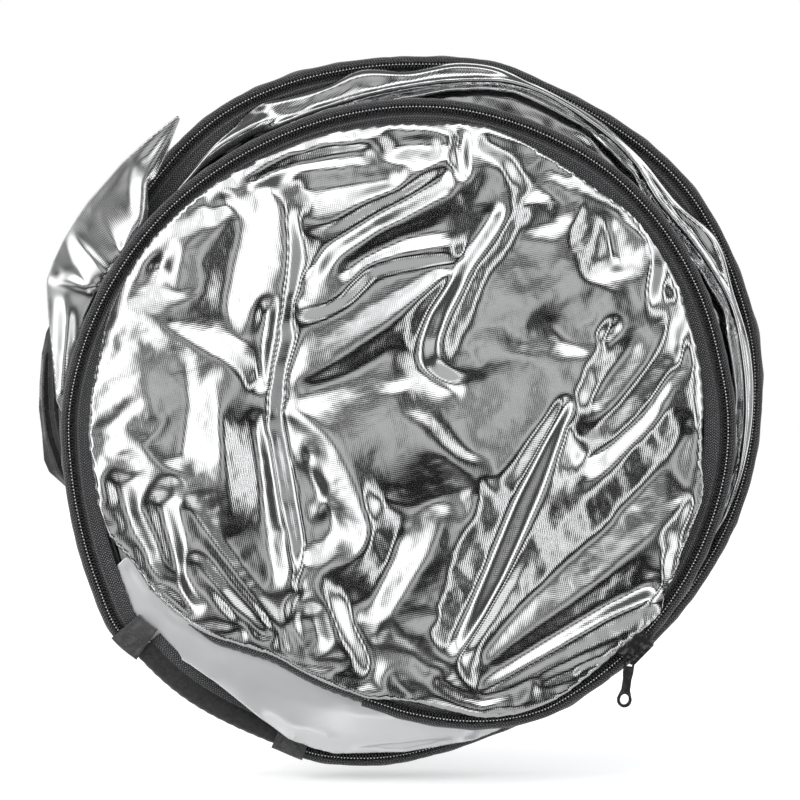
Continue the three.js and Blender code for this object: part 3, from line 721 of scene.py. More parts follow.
# Crests and hollows of the front cloth: board x, board y, height in mm above the plane of the rim.
FOLDS = [
    # long overlapping fold left of centre, with the inverted U at its top
    [(262, 192, 6), (275, 190, 8), (286, 213, 8.5), (291, 250, 8), (288, 290, 7.5), (280, 330, 7), (273, 370, 7.5), (272, 416, 8)],
    [(264, 410, 7), (274, 451, 8.5), (282, 502, 8), (290, 533, 7.5), (295, 563, 6.5), (290, 600, 5), (283, 622, 3.5)],
    [(300, 330, 0.5), (287, 370, 0.3), (283, 412, 0.3), (287, 450, 0), (294, 490, 0), (301, 530, 0), (304, 558, 1)],
    [(256, 420, 5), (262, 470, 4), (268, 530, 3.5), (274, 580, 3)],
    [(299, 222, 5), (302, 250, 3), (298, 292, 2.5), (289, 330, 1.5)],
    # swollen left panel
    [(215, 385, 8), (222, 430, 8.8), (228, 480, 8.2), (228, 530, 6)],
    [(128, 335, 4.5), (146, 375, 6), (160, 418, 6.2)],
    [(187, 375, 5.6), (188, 420, 4.6), (181, 460, 4.2)],
    # swept crease below it and the fan at the lower left
    [(95, 430, 2.2), (120, 428, 4.4), (150, 450, 6.2), (176, 474, 6.8), (205, 510, 6), (240, 562, 5), (284, 620, 3.4)],
    [(104, 447, 3), (130, 476, 4.2), (150, 520, 4.6), (165, 560, 4.2), (184, 577, 3.5)],
    [(176, 482, 4.4), (184, 520, 5), (187, 550, 5), (184, 578, 3.8), (205, 590, 4), (232, 616, 4), (262, 645, 2.6)],
    [(195, 530, 4.4), (225, 575, 5), (260, 620, 4.6), (310, 665, 2.4)],
    [(118, 480, 1.4), (138, 540, 1.4), (163, 583, 1.4), (200, 610, 1.4)],
    [(158, 500, 2), (172, 545, 2)],
    [(195, 560, 2.5), (222, 592, 2.6), (268, 638, 1.4)],
    [(190, 505, 3.4), (222, 552, 3.2), (262, 604, 2.6)],
    [(94, 442, 3.2), (99, 467, 3), (111, 492, 3), (121, 540, 3), (134, 566, 2.8), (162, 597, 2.8), (198, 621, 2.6), (262, 648, 2.4), (313, 666, 1.8)],
    [(138, 540, 1.4), (150, 570, 1.0), (160, 588, 0.9)],
    [(184, 578, 4.2), (196, 600, 4.0), (206, 621, 3.0)],
    [(232, 616, 4.2), (250, 632, 4.0), (268, 645, 3.0)],
    [(284, 620, 3.8), (296, 640, 3.8), (306, 658, 2.8)],
    [(222, 592, 2.4), (236, 618, 1.0), (246, 636, 0.8)],
    [(262, 604, 2.4), (276, 628, 0.8), (286, 649, 0.6)],
    [(172, 545, 2), (184, 588, 0.9), (190, 610, 0.6)],
    # upper left
    [(139, 286, 3), (160, 289, 4), (180, 291, 5)],
    [(180, 290, 5), (176, 262, 5), (190, 240, 5), (205, 222, 4.4), (216, 202, 3)],
    [(156, 270, 0.6), (166, 262, 0.8)],
    [(234, 204, 4), (224, 226, 5), (201, 264, 5.2), (185, 290, 5)],
    [(131, 293, 3.5), (160, 300, 5), (194, 304, 5.6), (212, 288, 4.6)],
    [(133, 297, 3.5), (150, 316, 6.2), (190, 345, 7.4), (231, 363, 8), (247, 385, 8.4)],
    [(240, 230, 3.4), (232, 270, 2.8), (224, 310, 2.8), (236, 342, 4)],
    [(248, 332, 5), (257, 300, 6.2), (273, 284, 7.2), (281, 296, 7.2), (279, 330, 6.4), (273, 372, 6.4)],
    [(267, 308, 3), (263, 345, 3.4), (262, 385, 4.4)],
    [(216, 192, 4), (231, 190, 5), (246, 196, 4)],
    [(224, 200, 2), (238, 215, 2.5)],
    # top, along the rim
    [(223, 186, 3), (253, 175, 5), (294, 156, 5.4), (335, 147, 5.4), (366, 143, 5), (384, 131, 3)],
    [(255, 183, 1.2), (294, 164, 1.2), (335, 154, 1.2), (370, 151, 1.4)],
    [(256, 192, 5), (275, 178, 4.2), (302, 171, 4), (340, 170, 4), (385, 167, 4), (430, 157, 4.4)],
    [(300, 190, 2.6), (350, 188, 2.6), (395, 180, 2.8)],
    [(384, 128, 3), (410, 133, 3.6), (430, 131, 4.4), (455, 140, 4.4)],
    [(392, 150, 1.4), (420, 143, 1.4), (440, 148, 2)],
    # wedge right of the U
    [(307, 228, 4.4), (335, 222, 6), (366, 204, 6.8), (400, 190, 6.8), (441, 164, 5.8), (455, 158, 4.4)],
    [(303, 300, 3), (322, 274, 5), (343, 253, 6.2), (382, 228, 7), (402, 220, 7), (432, 202, 6.4), (466, 190, 5.2)],
    [(313, 272, 0.6), (326, 247, 0.6), (355, 229, 1), (390, 207, 1.6), (430, 185, 2.2), (448, 173, 3)],
    [(300, 288, 3), (304, 306, 4.6), (325, 309, 6), (343, 298, 6.6), (358, 279, 7), (367, 265, 7), (400, 258, 7), (450, 252, 6.6), (463, 258, 5)],
    [(304, 330, 0.6), (322, 319, 1), (347, 304, 1.4), (374, 279, 1.6), (402, 271, 1.8), (440, 266, 2.2), (455, 270, 3)],
    [(345, 272, 3.6), (400, 240, 4), (440, 228, 4.2)],
    # cylinder folds below it
    [(278, 390, 2), (330, 364, 4.4), (385, 328, 5.4), (430, 289, 6), (456, 272, 5.4)],
    [(320, 345, 2), (380, 302, 2.4), (430, 280, 3)],
    [(310, 392, 1.5), (360, 370, 2), (405, 340, 2.4)],
    # swelling right of centre with its S-shaped edge
    [(508, 186, 5), (508, 212, 6.4), (497, 231, 7), (475, 260, 7.6), (462, 286, 8.2), (445, 316, 8.6), (436, 341, 8), (437, 360, 7), (448, 371, 6), (461, 379, 4.6)],
    [(494, 213, 2.5), (478, 240, 2.4), (456, 266, 2.4), (446, 290, 1.4), (432, 313, 0.8), (422, 340, 0.4), (419, 366, -0.4), (438, 379, 0.2), (456, 387, 1.4)],
    [(530, 215, 4.4), (508, 247, 4.8), (484, 286, 5.2), (468, 322, 5.4), (457, 352, 4.8)],
    [(552, 290, 6.4), (530, 317, 6.6), (527, 336, 6.2), (514, 358, 6)],
    [(475, 386, 4.4), (500, 369, 5.2), (520, 358, 6.2), (550, 360, 6.6), (582, 357, 7)],
    [(470, 327, 5.2), (500, 325, 5.4), (530, 318, 6.4)],
    [(550, 325, 4.6), (566, 342, 5), (580, 350, 6)],
    # V notch at the top
    [(474, 129, 3), (470, 150, 5.4), (468, 182, 6.6)],
    [(461, 136, 0.8), (460, 160, 1.6), (464, 182, 3.6)],
    [(441, 152, 5.4), (451, 170, 6), (464, 187, 6.6)],
    [(482, 154, 5), (500, 165, 6), (509, 186, 6.4)],
    [(484, 140, 2), (505, 152, 2.6), (524, 178, 3), (534, 200, 4)],
    # folds fanning from the press point
    [(565, 228, 5), (570, 257, 6), (588, 281, 6.8), (612, 293, 6.8), (637, 297, 6.4)],
    [(600, 222, 3), (592, 250, 5), (588, 273, 6)],
    [(606, 222, 2), (612, 252, 1.4), (618, 268, 2)],
    [(592, 276, 5.6), (612, 274, 5), (630, 278, 6)],
    [(612, 215, 3), (630, 226, 5.4), (647, 240, 6.8), (651, 262, 7.6), (645, 290, 7.6), (640, 311, 7)],
    [(661, 262, 4), (663, 280, 2.6), (661, 300, 3)],
    [(668, 285, 5), (684, 300, 4.6), (684, 312, 3.4), (673, 327, 4.4)],
    # eye-shaped fold and the lens right of it
    [(589, 357, 7.4), (598, 332, 7.4), (612, 313, 7), (627, 318, 6.6), (622, 330, 6.4), (607, 345, 6.8)],
    [(602, 338, 3.6), (614, 322, 3.6)],
    [(655, 314, 5.4), (667, 329, 7), (650, 360, 7.4), (620, 397, 7.4), (597, 424, 6.8), (582, 434, 6), (568, 428, 5.4)],
    [(632, 345, 4.6), (606, 375, 4.4), (588, 405, 4)],
    [(682, 350, 1), (664, 386, 1.2), (640, 415, 1), (606, 448, 1.2), (580, 458, 1.4)],
    [(640, 408, 2.6), (662, 398, 4.4), (697, 379, 3)],
    [(669, 331, 6), (676, 360, 4.2), (663, 396, 4)],
    # long overlapping fold right of centre
    [(590, 354, 7.6), (573, 395, 8), (557, 440, 8.4), (537, 495, 8.4), (522, 530, 8.4), (505, 572, 8.2), (485, 615, 7.4), (463, 652, 6), (446, 673, 4.6)],
    [(566, 402, 2.6), (546, 440, 1.2), (521, 490, 0.2), (505, 530, -0.4), (488, 570, -0.4), (470, 610, 0), (450, 645, 1.4)],
    [(590, 355, 7.6), (578, 373, 7.6), (552, 412, 7), (521, 450, 6.4), (493, 484, 5)],
    [(477, 500, 4.8), (460, 540, 4.4), (445, 590, 4.2), (430, 640, 3.6)],
    # thin ridge, streak and hollow beside it
    [(384, 384, 3), (393, 397, 4.4), (420, 425, 5.6), (455, 460, 5.8), (485, 490, 5)],
    [(400, 390, 4.4), (440, 418, 3.6), (475, 455, 3.6)],
    [(445, 513, 4.4), (436, 540, 5.2), (418, 570, 5.4), (395, 605, 4.6), (372, 640, 3.2)],
    [(400, 530, 1.2), (387, 572, 0.8), (370, 610, 0.8)],
    [(380, 502, 1.8), (408, 512, 1.6), (445, 498, 2.2), (466, 488, 3.4)],
    # crescent low on the left of centre
    [(286, 409, 3), (305, 416, 5), (333, 440, 6), (353, 474, 6.2), (367, 511, 6.6), (370, 536, 6.4), (362, 553, 5.8), (345, 563, 5), (322, 568, 4.4), (300, 564, 3.4)],
    [(308, 452, 0.4), (322, 494, 0.2), (335, 526, 0.6), (320, 546, 1)],
    [(297, 446, 2.2), (314, 466, 3), (328, 489, 3.2), (321, 515, 2.6)],
    [(371, 522, 6), (386, 525, 4.6), (402, 528, 3)],
    # triangle at its foot
    [(297, 571, 3.6), (315, 585, 5), (330, 608, 5.6), (341, 645, 5), (352, 676, 3.2), (361, 690, 1.6)],
    [(298, 576, 3.6), (301, 610, 3.8), (303, 646, 3.2), (322, 668, 2)],
    [(293, 600, 1.4), (291, 622, 1.4), (306, 655, 1.2)],
    [(312, 610, 2.2), (322, 645, 2)],
    [(348, 600, 1), (362, 640, 1), (376, 672, 1)],
    [(366, 681, 2.4), (386, 671, 3.4), (405, 690, 2.2)],
    [(392, 640, 2.6), (412, 655, 3), (425, 668, 2.4)],
    [(404, 700, 1.6), (425, 684, 3.4), (444, 669, 4.4)],
    # fan at the lower right
    [(465, 655, 2.2), (500, 600, 3.8), (540, 545, 5.2), (580, 500, 5.8), (620, 455, 5.8), (663, 412, 4.6)],
    [(480, 657, 1), (520, 606, 0.8), (560, 566, 0.8), (600, 531, 1), (645, 481, 1), (690, 432, 1.4)],
    [(470, 675, 2), (520, 636, 3.8), (570, 601, 5), (610, 571, 5.6), (650, 536, 5.6), (686, 502, 4.4)],
    [(480, 681, 1.4), (530, 652, 1.8), (590, 617, 2.2), (640, 590, 2.6), (653, 578, 3)],
    [(460, 694, 2), (500, 679, 4.4), (560, 641, 6.8), (610, 611, 8), (645, 598, 8.4), (660, 603, 7.4)],
    [(480, 699, 1.4), (540, 671, 2.4), (600, 646, 2.8), (645, 623, 3.4)],
    [(510, 701, 2.8), (570, 671, 4.6), (620, 646, 4.6), (650, 620, 4.4)],
    [(540, 690, 1.4), (590, 668, 1.6)],
    [(661, 552, 5.6), (692, 545, 3)],
    [(661, 552, 5.6), (662, 578, 6), (661, 600, 6.6)],
    [(700, 470, 1.4), (690, 520, 1.6), (676, 560, 2)],
]


def cloth_panel(name, outline, step, lines, y_rim, sign, y_low, y_high, mat, body, nodes, edge_y=None, grow=0.008, frames=10,
                bend=2.4, soften=2, pucker=1.3, crinkle=0.10, seed=5, levels=1, thick=0.3, sim=True, weight=2.0, angle=0.35, skirt=None,
                press=None):
    """A silver or black cloth: a taut skin over its fold lines, relaxed by the cloth solver, with its rim sewn down.
    sign -1 bulges towards -Y."""
    p, f, border, dist, locate = sheet_grid(outline, step, angle)
    c = np.asarray(outline).mean(0)
    ang = np.degrees(np.arctan2(p[:, 1] - c[1], p[:, 0] - c[0]))
    eh = np.zeros(len(p)) if edge_y is None else sign * (edge_y(ang % 360) - y_rim)
    # a soft roll of cloth inside the seam, uneven like the real one
    o = np.asarray(outline, float)
    roll = c + (o - c) * (1 - 3.4 / np.maximum(np.linalg.norm(o - c, axis=1), 1))[:, None]
    nz = value_noise(np.stack([np.arange(len(roll)) * 2.6, np.full(len(roll), 3.0)], 1), 8.0, seed + 3, 2)
    extra = [(np.column_stack([roll, (3.7 if skirt is not None else 2.5) + pucker * nz]), 0.8)] if pucker else []
    h, e = tension(p, f, border, locate, [l if isinstance(l, tuple) else L3(l) for l in lines] + extra, eh, weight, soften, step)
    inner = smooth(0, 7, dist)
    h += crinkle * (value_noise(p, 16, seed + 31, 2) * 1.5 + ridged(p, 22, seed + 47, 2.2, 0.8, 2)) * inner
    v = np.stack([p[:, 0], y_rim + sign * h, p[:, 1]], 1)
    w = v
    if sim:
        pins = np.where(border, 1.0, 0.0)
        w = relax(v, f, pins, frames=frames, grow=grow, bend=bend)
        move = w - v
        L = np.linalg.norm(move, axis=1)
        print("SIM", name, "verts", len(v), "mean move mm", round(float(L.mean()), 3), "max", round(float(L.max()), 2))
        cap = 3.0
        move *= (np.minimum(L, cap) / np.maximum(L, 1e-9))[:, None]
        w = v + move
    free = ~border
    w[free, 1] = squeeze(w[:, 1], y_low, y_high)[free]
    if press is not None:
        # lies flat where a part passes over it
        for x0, z0, x1, z1, pr, py, slope in press:
            q, d = w[:, [0, 2]] - (x0, z0), np.array([x1 - x0, z1 - z0])
            k = np.clip(q @ d / (d @ d), 0, 1)[:, None]
            far = np.maximum(np.linalg.norm(q - k * d, axis=1) - pr, 0)
            w[:, 1] = np.maximum(w[:, 1], py - slope * far)
    if skirt is not None:
        # the cloth turns down to its seam all round
        pairs = np.concatenate([f[:, [0, 1]], f[:, [1, 2]], f[:, [2, 3]], f[:, [3, 0]]])
        key = np.sort(pairs, 1)
        _, first, cnt = np.unique(key, axis=0, return_index=True, return_counts=True)
        rimE = pairs[first[cnt == 1]]
        ids = np.unique(rimE)
        back = np.full(len(w), -1)
        back[ids] = len(w) + np.arange(len(ids))
        low = w[ids].copy()
        low[:, 1] = skirt
        w = np.vstack([w, low])
        p = np.vstack([p, p[ids] + 1.5])
        f = np.vstack([f, np.column_stack([rimE[:, 1], rimE[:, 0], back[rimE[:, 0]], back[rimE[:, 1]]])])
    if sign > 0:
        f = f[:, ::-1]
    ob = finish_sheet(name, w, f, p, levels=levels, thick=thick, mat=mat)
    put(ob, body, nodes)
    return ob


def edge_a(deg):
    return -20.1 + 0.5 * np.sin(np.radians(deg * 5 + 40)) - 0.3 * smooth(214, 224, deg) * (1 - smooth(258, 270, deg))


front = cloth_panel("front_silver_cloth", outline_a, 1.5, [[(x, y, 0.9 + h * 0.84) for x, y, h in l] for l in FOLDS], -17.0, -1, -29.0, -16.0, SILVER, "front_turn",
                    ("front_silver_panel",), edge_y=edge_a, skirt=-16.3, grow=0.003, crinkle=0.02, soften=4, pucker=0.8, press=((90.0, -97.7, 73.2, -104.5, 3.9, -19.6, 0.7), (55.4, -120.7, 37.3, -122.0, 3.9, -19.6, 0.7)))

# ---------------------------------------------------------------- zips
def chain(name, curve, d0, d1, y0, row, body, node, pitch=1.35):
    """One row of a coil zip's teeth. row 0 is the outer one; the rows mesh between rho 2.2 and 3.9."""
    dd = np.arange(d0, d1, 0.02)
    a = np.radians(dd)
    r = curve(dd)
    P = np.stack([r * np.cos(a) + HUB[0], r * np.sin(a) + HUB[1]], 1)
    s = np.concatenate([[0], np.cumsum(np.linalg.norm(np.diff(P, axis=0), axis=1))])
    at = np.arange(0.6 + (pitch / 2 if row else 0), s[-1] - 0.6, pitch)
    px, pz = np.interp(at, s, P[:, 0]), np.interp(at, s, P[:, 1])
    T = np.gradient(P, axis=0)
    T /= np.linalg.norm(T, axis=1)[:, None]
    tx, tz = np.interp(at, s, T[:, 0]), np.interp(at, s, T[:, 1])
    ln = np.hypot(tx, tz)
    tx, tz = tx / ln, tz / ln
    nx, nz = tz, -tx
    st = [(0.0, 0.20, 0.45), (0.22, 0.34, 0.86), (0.9, 0.36, 1.0), (2.0, 0.28, 1.0), (2.9, 0.36, 1.12), (3.5, 0.33, 0.95), (3.8, 0.16, 0.4)]
    k = 8
    ring = np.array([(math.cos(2 * math.pi * i / k), math.sin(2 * math.pi * i / k)) for i in range(k)])
    ring = np.sign(ring) * np.abs(ring) ** 0.8
    proto = []
    for rho, w, h in st:
        rr = 1.2 + 0.56 * (rho if row == 0 else 6.1 - rho)
        for cx, cy in ring:
            proto.append((rr, cx * w, 1.15 + cy * h * 0.95))
    proto = np.array(proto)
    pf = []
    m = len(st)
    for i in range(m - 1):
        for j in range(k):
            j2 = (j + 1) % k
            pf.append((i * k + j, i * k + j2, (i + 1) * k + j2, (i + 1) * k + j))
    caps = [tuple(range(k)), tuple((m - 1) * k + j for j in reversed(range(k)))]
    if row == 0:
        pf = [tuple(reversed(q)) for q in pf]
        caps = [tuple(reversed(c)) for c in caps]
    pf += [tuple(reversed(c)) for c in caps]
    jit = np.random.default_rng(5 + row).normal(0, 0.035, len(at))[:, None]
    rho, t, y = proto[None, :, 0], proto[None, :, 1] + jit, proto[None, :, 2]
    V = np.stack([px[:, None] - nx[:, None] * rho + tx[:, None] * t, y0 + y + 0 * t, pz[:, None] - nz[:, None] * rho + tz[:, None] * t], 2).reshape(-1, 3)
    base = (np.arange(len(at)) * len(proto))[:, None]
    sizes = np.array([len(q) for q in pf])
    flat = np.concatenate([np.array(q) for q in pf])
    loops = (base + flat[None]).ravel().astype(np.int32)
    sizes = np.tile(sizes, len(at))
    me = bpy.data.meshes.new(name)
    me.vertices.add(len(V))
    me.vertices.foreach_set("co", (V * MM).astype(np.float32).ravel())
    me.loops.add(len(loops))
    me.loops.foreach_set("vertex_index", loops)
    me.polygons.add(len(sizes))
    me.polygons.foreach_set("loop_start", np.concatenate([[0], np.cumsum(sizes)[:-1]]).astype(np.int32))
    me.polygons.foreach_set("use_smooth", np.ones(len(sizes), dtype=bool))
    me.update(calc_edges=True)
    # mask for the painted glint at the head of each outer tooth, carried in the UV's u for the coil material
    glint_mask = np.repeat(np.exp(-((np.array([q[0] for q in st]) - 3.0) / 0.45) ** 2), k) if row == 0 else np.zeros(m * k)
    layer = me.uv_layers.new(name="cloth")
    layer.data.foreach_set("uv", np.column_stack([np.tile(glint_mask, len(at))[loops], np.zeros(len(loops))]).astype(np.float32).ravel() * 0.01)
    ob = bpy.data.objects.new(name, me)
    bpy.context.scene.collection.objects.link(ob)
    return put(ob, body, (node,), COIL)


WAVES = {}


def tape_wave(d, seed, amp=0.22):
    if seed not in WAVES:
        WAVES[seed] = value_noise(np.stack([np.arange(0, 360, 3) * 1.0, np.zeros(120)], 1), 7.0, seed, 2)
    return amp * float(np.interp(d % 360, np.arange(0, 360, 3), WAVES[seed]))


def outer_tape(name, curve, d0, d1, y0, body, node, seed):
    """Half of the zip's tape: from under the teeth, round the rim's edge and in across the back."""
    def sec(d):
        w = tape_wave(d, seed, 0.35)
        b = 0.28 * math.sin(d * 0.9 + seed) + tape_wave(d, seed + 4, 0.5)
        o = [(3.3, 2.15), (1.4, 2.2), (0.2, 2.35), (-0.55, 2.9), (-0.95 - abs(b) * 0.5, 4.4 + w), (-1.05 - abs(b), 6.4 + w), (-0.85 - abs(b) * 0.4, 8.6),
             (-0.2, 9.55), (0.9, 9.86), (4.0, 9.9), (7.6, 9.82), (10.4, 9.86)]
        t = 0.55
        i = [(10.4, 9.3), (7.6, 9.28), (4.0, 9.34), (1.1, 9.3), (0.35, 9.0), (-0.3, 8.4), (-0.45, 6.4 + w), (-0.4, 4.5 + w), (-0.05, 3.35), (0.45, 2.85), (1.5, 2.72), (3.3, 2.7)]
        return o + i
    ob = sweep(name, curve, np.arange(d0, d1 + 0.01, 0.8), sec)
    return put(ob, body, (node,), TAPE)


def inner_tape(name, curve, d0, d1, y0, body, node, seed, r0=2.7, r1=12.1, top=0.8):
    """The other half: from under the teeth inward, slightly dished, with a welt along the teeth."""
    def sec(d):
        w = tape_wave(d, seed)
        v = tape_wave(d, seed + 9, 0.3)
        o = [(r0, 2.15), (5.6, 2.1), (6.25, 1.25), (6.6, 0.78), (7.1, 0.72), (7.6, 0.98), (8.6, 1.0 + w * 0.4), (9.8, 0.86 + w * 0.7), (11.0, 0.74 + w), (r1 + v - 0.35, 0.8 + w), (r1 + v, 1.0 + w)]
        i = [(r1 + v, 1.4 + w), (11.0, 1.5 + w * 0.8), (8.6, 1.65 + w * 0.4), (6.9, 1.6), (6.2, 2.2), (5.6, 2.66), (r0, 2.7)]
        k = 0.45 + 0.55 * float(smooth(d0, d0 + 9, d))
        return [(r0 + (r - r0) * k, y) for r, y in o + i]
    ob = sweep(name, curve, np.arange(d0, d1 + 0.01, 0.8), sec)
    return put(ob, body, (node,), TAPE)


def shift(ob, dy):
    me = ob.data
    co = np.empty(len(me.vertices) * 3, dtype=np.float32)
    me.vertices.foreach_get("co", co)
    co[1::3] += dy * MM
    me.vertices.foreach_set("co", co)
    me.update()
    return ob


for turn, curve, d0, d1, y0 in (("front", FRONT, 262.5 - 360, 218.5, YA), ("middle", MIDDLE, 253.2 - 360, 219.0, YB), ("rear", REAR, 246 - 360, 229.0, YC)):
    chain(turn + "_zip_teeth_outer", curve, d0, d1, y0, 0, turn + "_turn", turn + "_zip_coil_outer")
    chain(turn + "_zip_teeth_inner", curve, d0, d1, y0, 1, turn + "_turn", turn + "_zip_coil_inner")
    shift(outer_tape(turn + "_tape_outer", curve, d0, d1, y0, turn + "_turn", turn + "_zip_tape_outer", 3 + len(turn)), y0)
    shift(inner_tape(turn + "_tape_inner", curve, d0, d1, y0, turn + "_turn", turn + "_zip_tape_inner", 13 + len(turn)), y0)

# ---------------------------------------------------------------- middle strip of silver
RIDGE1 = table([[0, 349.6], [11, 351], [18, 352], [23, 348], [31, 342], [40, 338], [46, 346], [58, 352], [71, 353], [80, 341], [87, 331.5], [96, 322.5],
    [106, 317], [116, 315.5], [130, 318], [150, 330], [180, 336], [210, 338], [240, 336], [270, 330], [300, 332], [330, 340], [345, 347]])


COVER = table([[0, 3.8], [12, 4.7], [20, 5.4], [29, 3.7], [37, 9.2], [47, 7.0], [56, 4.4], [66, 3.2], [71, 3.1], [75, 2.5], [80, 2.7], [89, 6.2], [97, 4.6], [102, 7.9], [110, 8.2],
    [114, 6.8], [120, 9.0], [127, 11.6], [150, 11.6], [200, 11.6], [250, 11.6], [300, 11.6], [320, 11.0], [330, 8.6], [340, 6.0], [350, 4.4]])


def middle_strip(name, curve, y0, body, nodes, rho_in=11.6, depth=60.0, ridges=True, seed=3, mat=SILVER_SIDE):
    """The silver of one turn: it billows over the zip at the top and the right, in rolled folds parallel to the rim,
    then a flat centre."""
    A = np.arange(0, 360, 0.75)
    t = np.concatenate([[-1.5], np.arange(0, 26, 0.7), np.arange(27, depth, 4.0)])
    a = np.radians(A)
    r = curve(A)
    cover = COVER(A) if ridges else np.full(len(A), rho_in)
    if ridges:
        cover = cover + np.maximum(15.2 - cover, 0) * smooth(216, 221, A) * (1 - smooth(251, 256, A))
    if ridges:
        r1 = RIDGE1(A) / PX
        w1 = value_noise(np.stack([A * 1.1, np.zeros(len(A))], 1), 14.0, seed, 2)
        w2 = value_noise(np.stack([A * 1.6, np.ones(len(A))], 1), 9.0, seed + 1, 2)
        lift = 4.6 + 0.2 * w1
    V, UV = [], []
    for j, tt in enumerate(t):
        rr = r - cover - (tt if j else 1.6)
        if ridges:
            q = rr - r1
            span = np.maximum(r - cover - r1, 2.5)
            H = 5.4 + 0.5 * w1
            out = np.clip(q / span, 0, 1)
            h = np.where(q > 0, H + 0.15 * w2 * np.sin(math.pi * out) - (H - lift) * smooth(0.72, 1.0, out) + 1.1 * np.exp(-(q / 1.3) ** 2), (H + 1.1) * np.exp(-(q / 1.35) ** 2))
            q2 = q + 3.6 + 0.8 * w2
            h = np.maximum(h, (4.4 + 1.0 * w2) * np.exp(-(q2 / 1.15) ** 2))
            q3 = rr - 127.6
            bul = smooth(112, 117, A) * (1 - smooth(134, 142, A))
            h = h * (1 - 0.85 * bul) + 6.2 * bul * np.exp(-(q3 / 4.0) ** 2)
            h *= smooth(-1.2, 0.6, tt - 0.9) * 0.35 + 0.65 if j else 0.0
            h += 0.22 * value_noise(np.stack([A * 2.1, np.full(len(A), tt * 1.6)], 1), 9.0, seed + 7, 2) * smooth(0, 4, tt)
            h = np.minimum(h, np.where(rr < FRONT(A) + 1.8, 3.7, 8.5)) + 0.3
            h *= 1 - smooth(24, 40, tt)
        else:
            h = 0.5 * value_noise(np.stack([A * 1.5, np.full(len(A), tt * 1.0)], 1), 12.0, seed + 7, 2) * smooth(0, 4, tt)
        V.append(np.stack([rr * np.cos(a) + HUB[0], y0 + 0.4 - h, rr * np.sin(a) + HUB[1]], 1))
        UV.append(np.stack([rr * np.cos(a), rr * np.sin(a)], 1))
    for k in np.linspace(0.95, 0.02, 22):
        V.append(np.stack([k * rr * np.cos(a) + HUB[0], np.full(len(A), y0 + 0.4), k * rr * np.sin(a) + HUB[1]], 1))
        UV.append(np.stack([k * rr * np.cos(a), k * rr * np.sin(a)], 1))
    V, UV = np.vstack(V), np.vstack(UV)
    n, m = len(A), len(t) + 22
    inside = smooth(26, 40, np.minimum(np.repeat(t, n)[: len(t) * n], 60))
    inside = np.concatenate([inside, np.ones(22 * n)])
    V[:, 1] += inside * (0.9 * value_noise(UV, 34, seed + 11, 2) + 0.8 * ridged(UV, 40, seed + 13, 2.4, 0.7, 2) - 0.2)
    F = []
    for j in range(m - 1):
        for i in range(n):
            i2 = (i + 1) % n
            F.append((j * n + i, (j + 1) * n + i, (j + 1) * n + i2, j * n + i2))
    F.append(tuple((m - 1) * n + i for i in range(n)))
    ob = make(name, V, F, UV)
    md = ob.modifiers.new("thick", "SOLIDIFY")
    md.thickness = 0.3 * MM
    md.offset = 0
    return put(ob, body, nodes, mat)


middle_strip("middle_silver_cloth", MIDDLE, YB, "middle_turn", ("middle_silver_panel",))
middle_strip("rear_silver_cloth", REAR, YC, "rear_turn", ("rear_silver_panel",), ridges=False)

# ---------------------------------------------------------------- folds of silver at the side and at the foot
SIDE_OUTLINE = board([(181.5, 108), (174, 125), (165, 150), (152.5, 176), (145.4, 182), (145.6, 208.4), (145, 222), (141, 232), (122, 256), (108, 280), (100, 292),
    (93, 290), (82, 314), (72, 346), (67, 378), (64.5, 405), (64, 424), (58.5, 414), (53, 402), (49, 358), (44.5, 312), (43, 284), (44, 277), (50, 260), (59.3, 240.3),
    (74.6, 214.8), (86.1, 198.2), (101.4, 181), (119.3, 160), (141, 140), (163.9, 121.5)])
SIDE = [
    [(176, 117, 3.4), (161, 140, 3.7), (147.5, 168, 4.0), (143, 184, 4.8), (141, 212, 5.2), (138, 230, 5.0)],
    [(171, 121, 3.0), (153, 143, 3.1), (141, 158, 3.2)],
    [(163, 126, 3.3), (146, 142, 3.5), (131, 158, 3.5), (110, 184, 3.5), (92, 206, 3.5)],
    [(128, 165, 3.3), (126, 185, 3.4), (128, 204, 3.7)],
    [(98, 213, 3.4), (116, 212, 3.7), (134, 214, 4.4)],
    [(98, 213, 3.4), (107, 230, 3.5), (117, 247, 3.6)],
    [(136, 218, 5.0), (130, 232, 5.2), (121, 250, 4.8)],
    [(88, 208, 3.5), (100, 226, 3.5), (110, 244, 3.6)],
    [(72, 236, 3.8), (90, 256, 5.0), (108, 276, 5.0)],
    [(77, 235, 3.7), (95, 254, 4.2), (112, 270, 4.3)],
    [(84, 226, 3.7), (100, 243, 3.9), (114, 258, 4.0)],
    [(62, 242, 3.1), (70, 262, 3.3), (82, 284, 3.6)],
    [(52, 262, 3.2), (57, 276, 3.3)],
    [(45, 279, 3.3), (60, 281.5, 4.4), (76, 284, 5.0), (97, 287, 4.6)],
    [(48, 285, 3.2), (64, 288, 3.7), (84, 293, 3.7)],
    [(62, 300, 4.2), (65, 318, 4.7), (62, 350, 4.6), (58, 392, 4.0)],
    [(51, 300, 3.2), (53, 350, 3.4)],
    [(74, 305, 3.6), (69, 340, 3.7)],
]
cloth_panel("silver_side_fold_cloth", SIDE_OUTLINE, 0.85, SIDE, -6.6, -1, -13.5, -5.0, SILVER_SIDE, "middle_turn",
            ("silver_side_fold",), edge_y=lambda a: np.full(np.shape(a), -9.8), sim=False, pucker=0.0, crinkle=0.04, levels=1, seed=15, soften=3, thick=0.3)

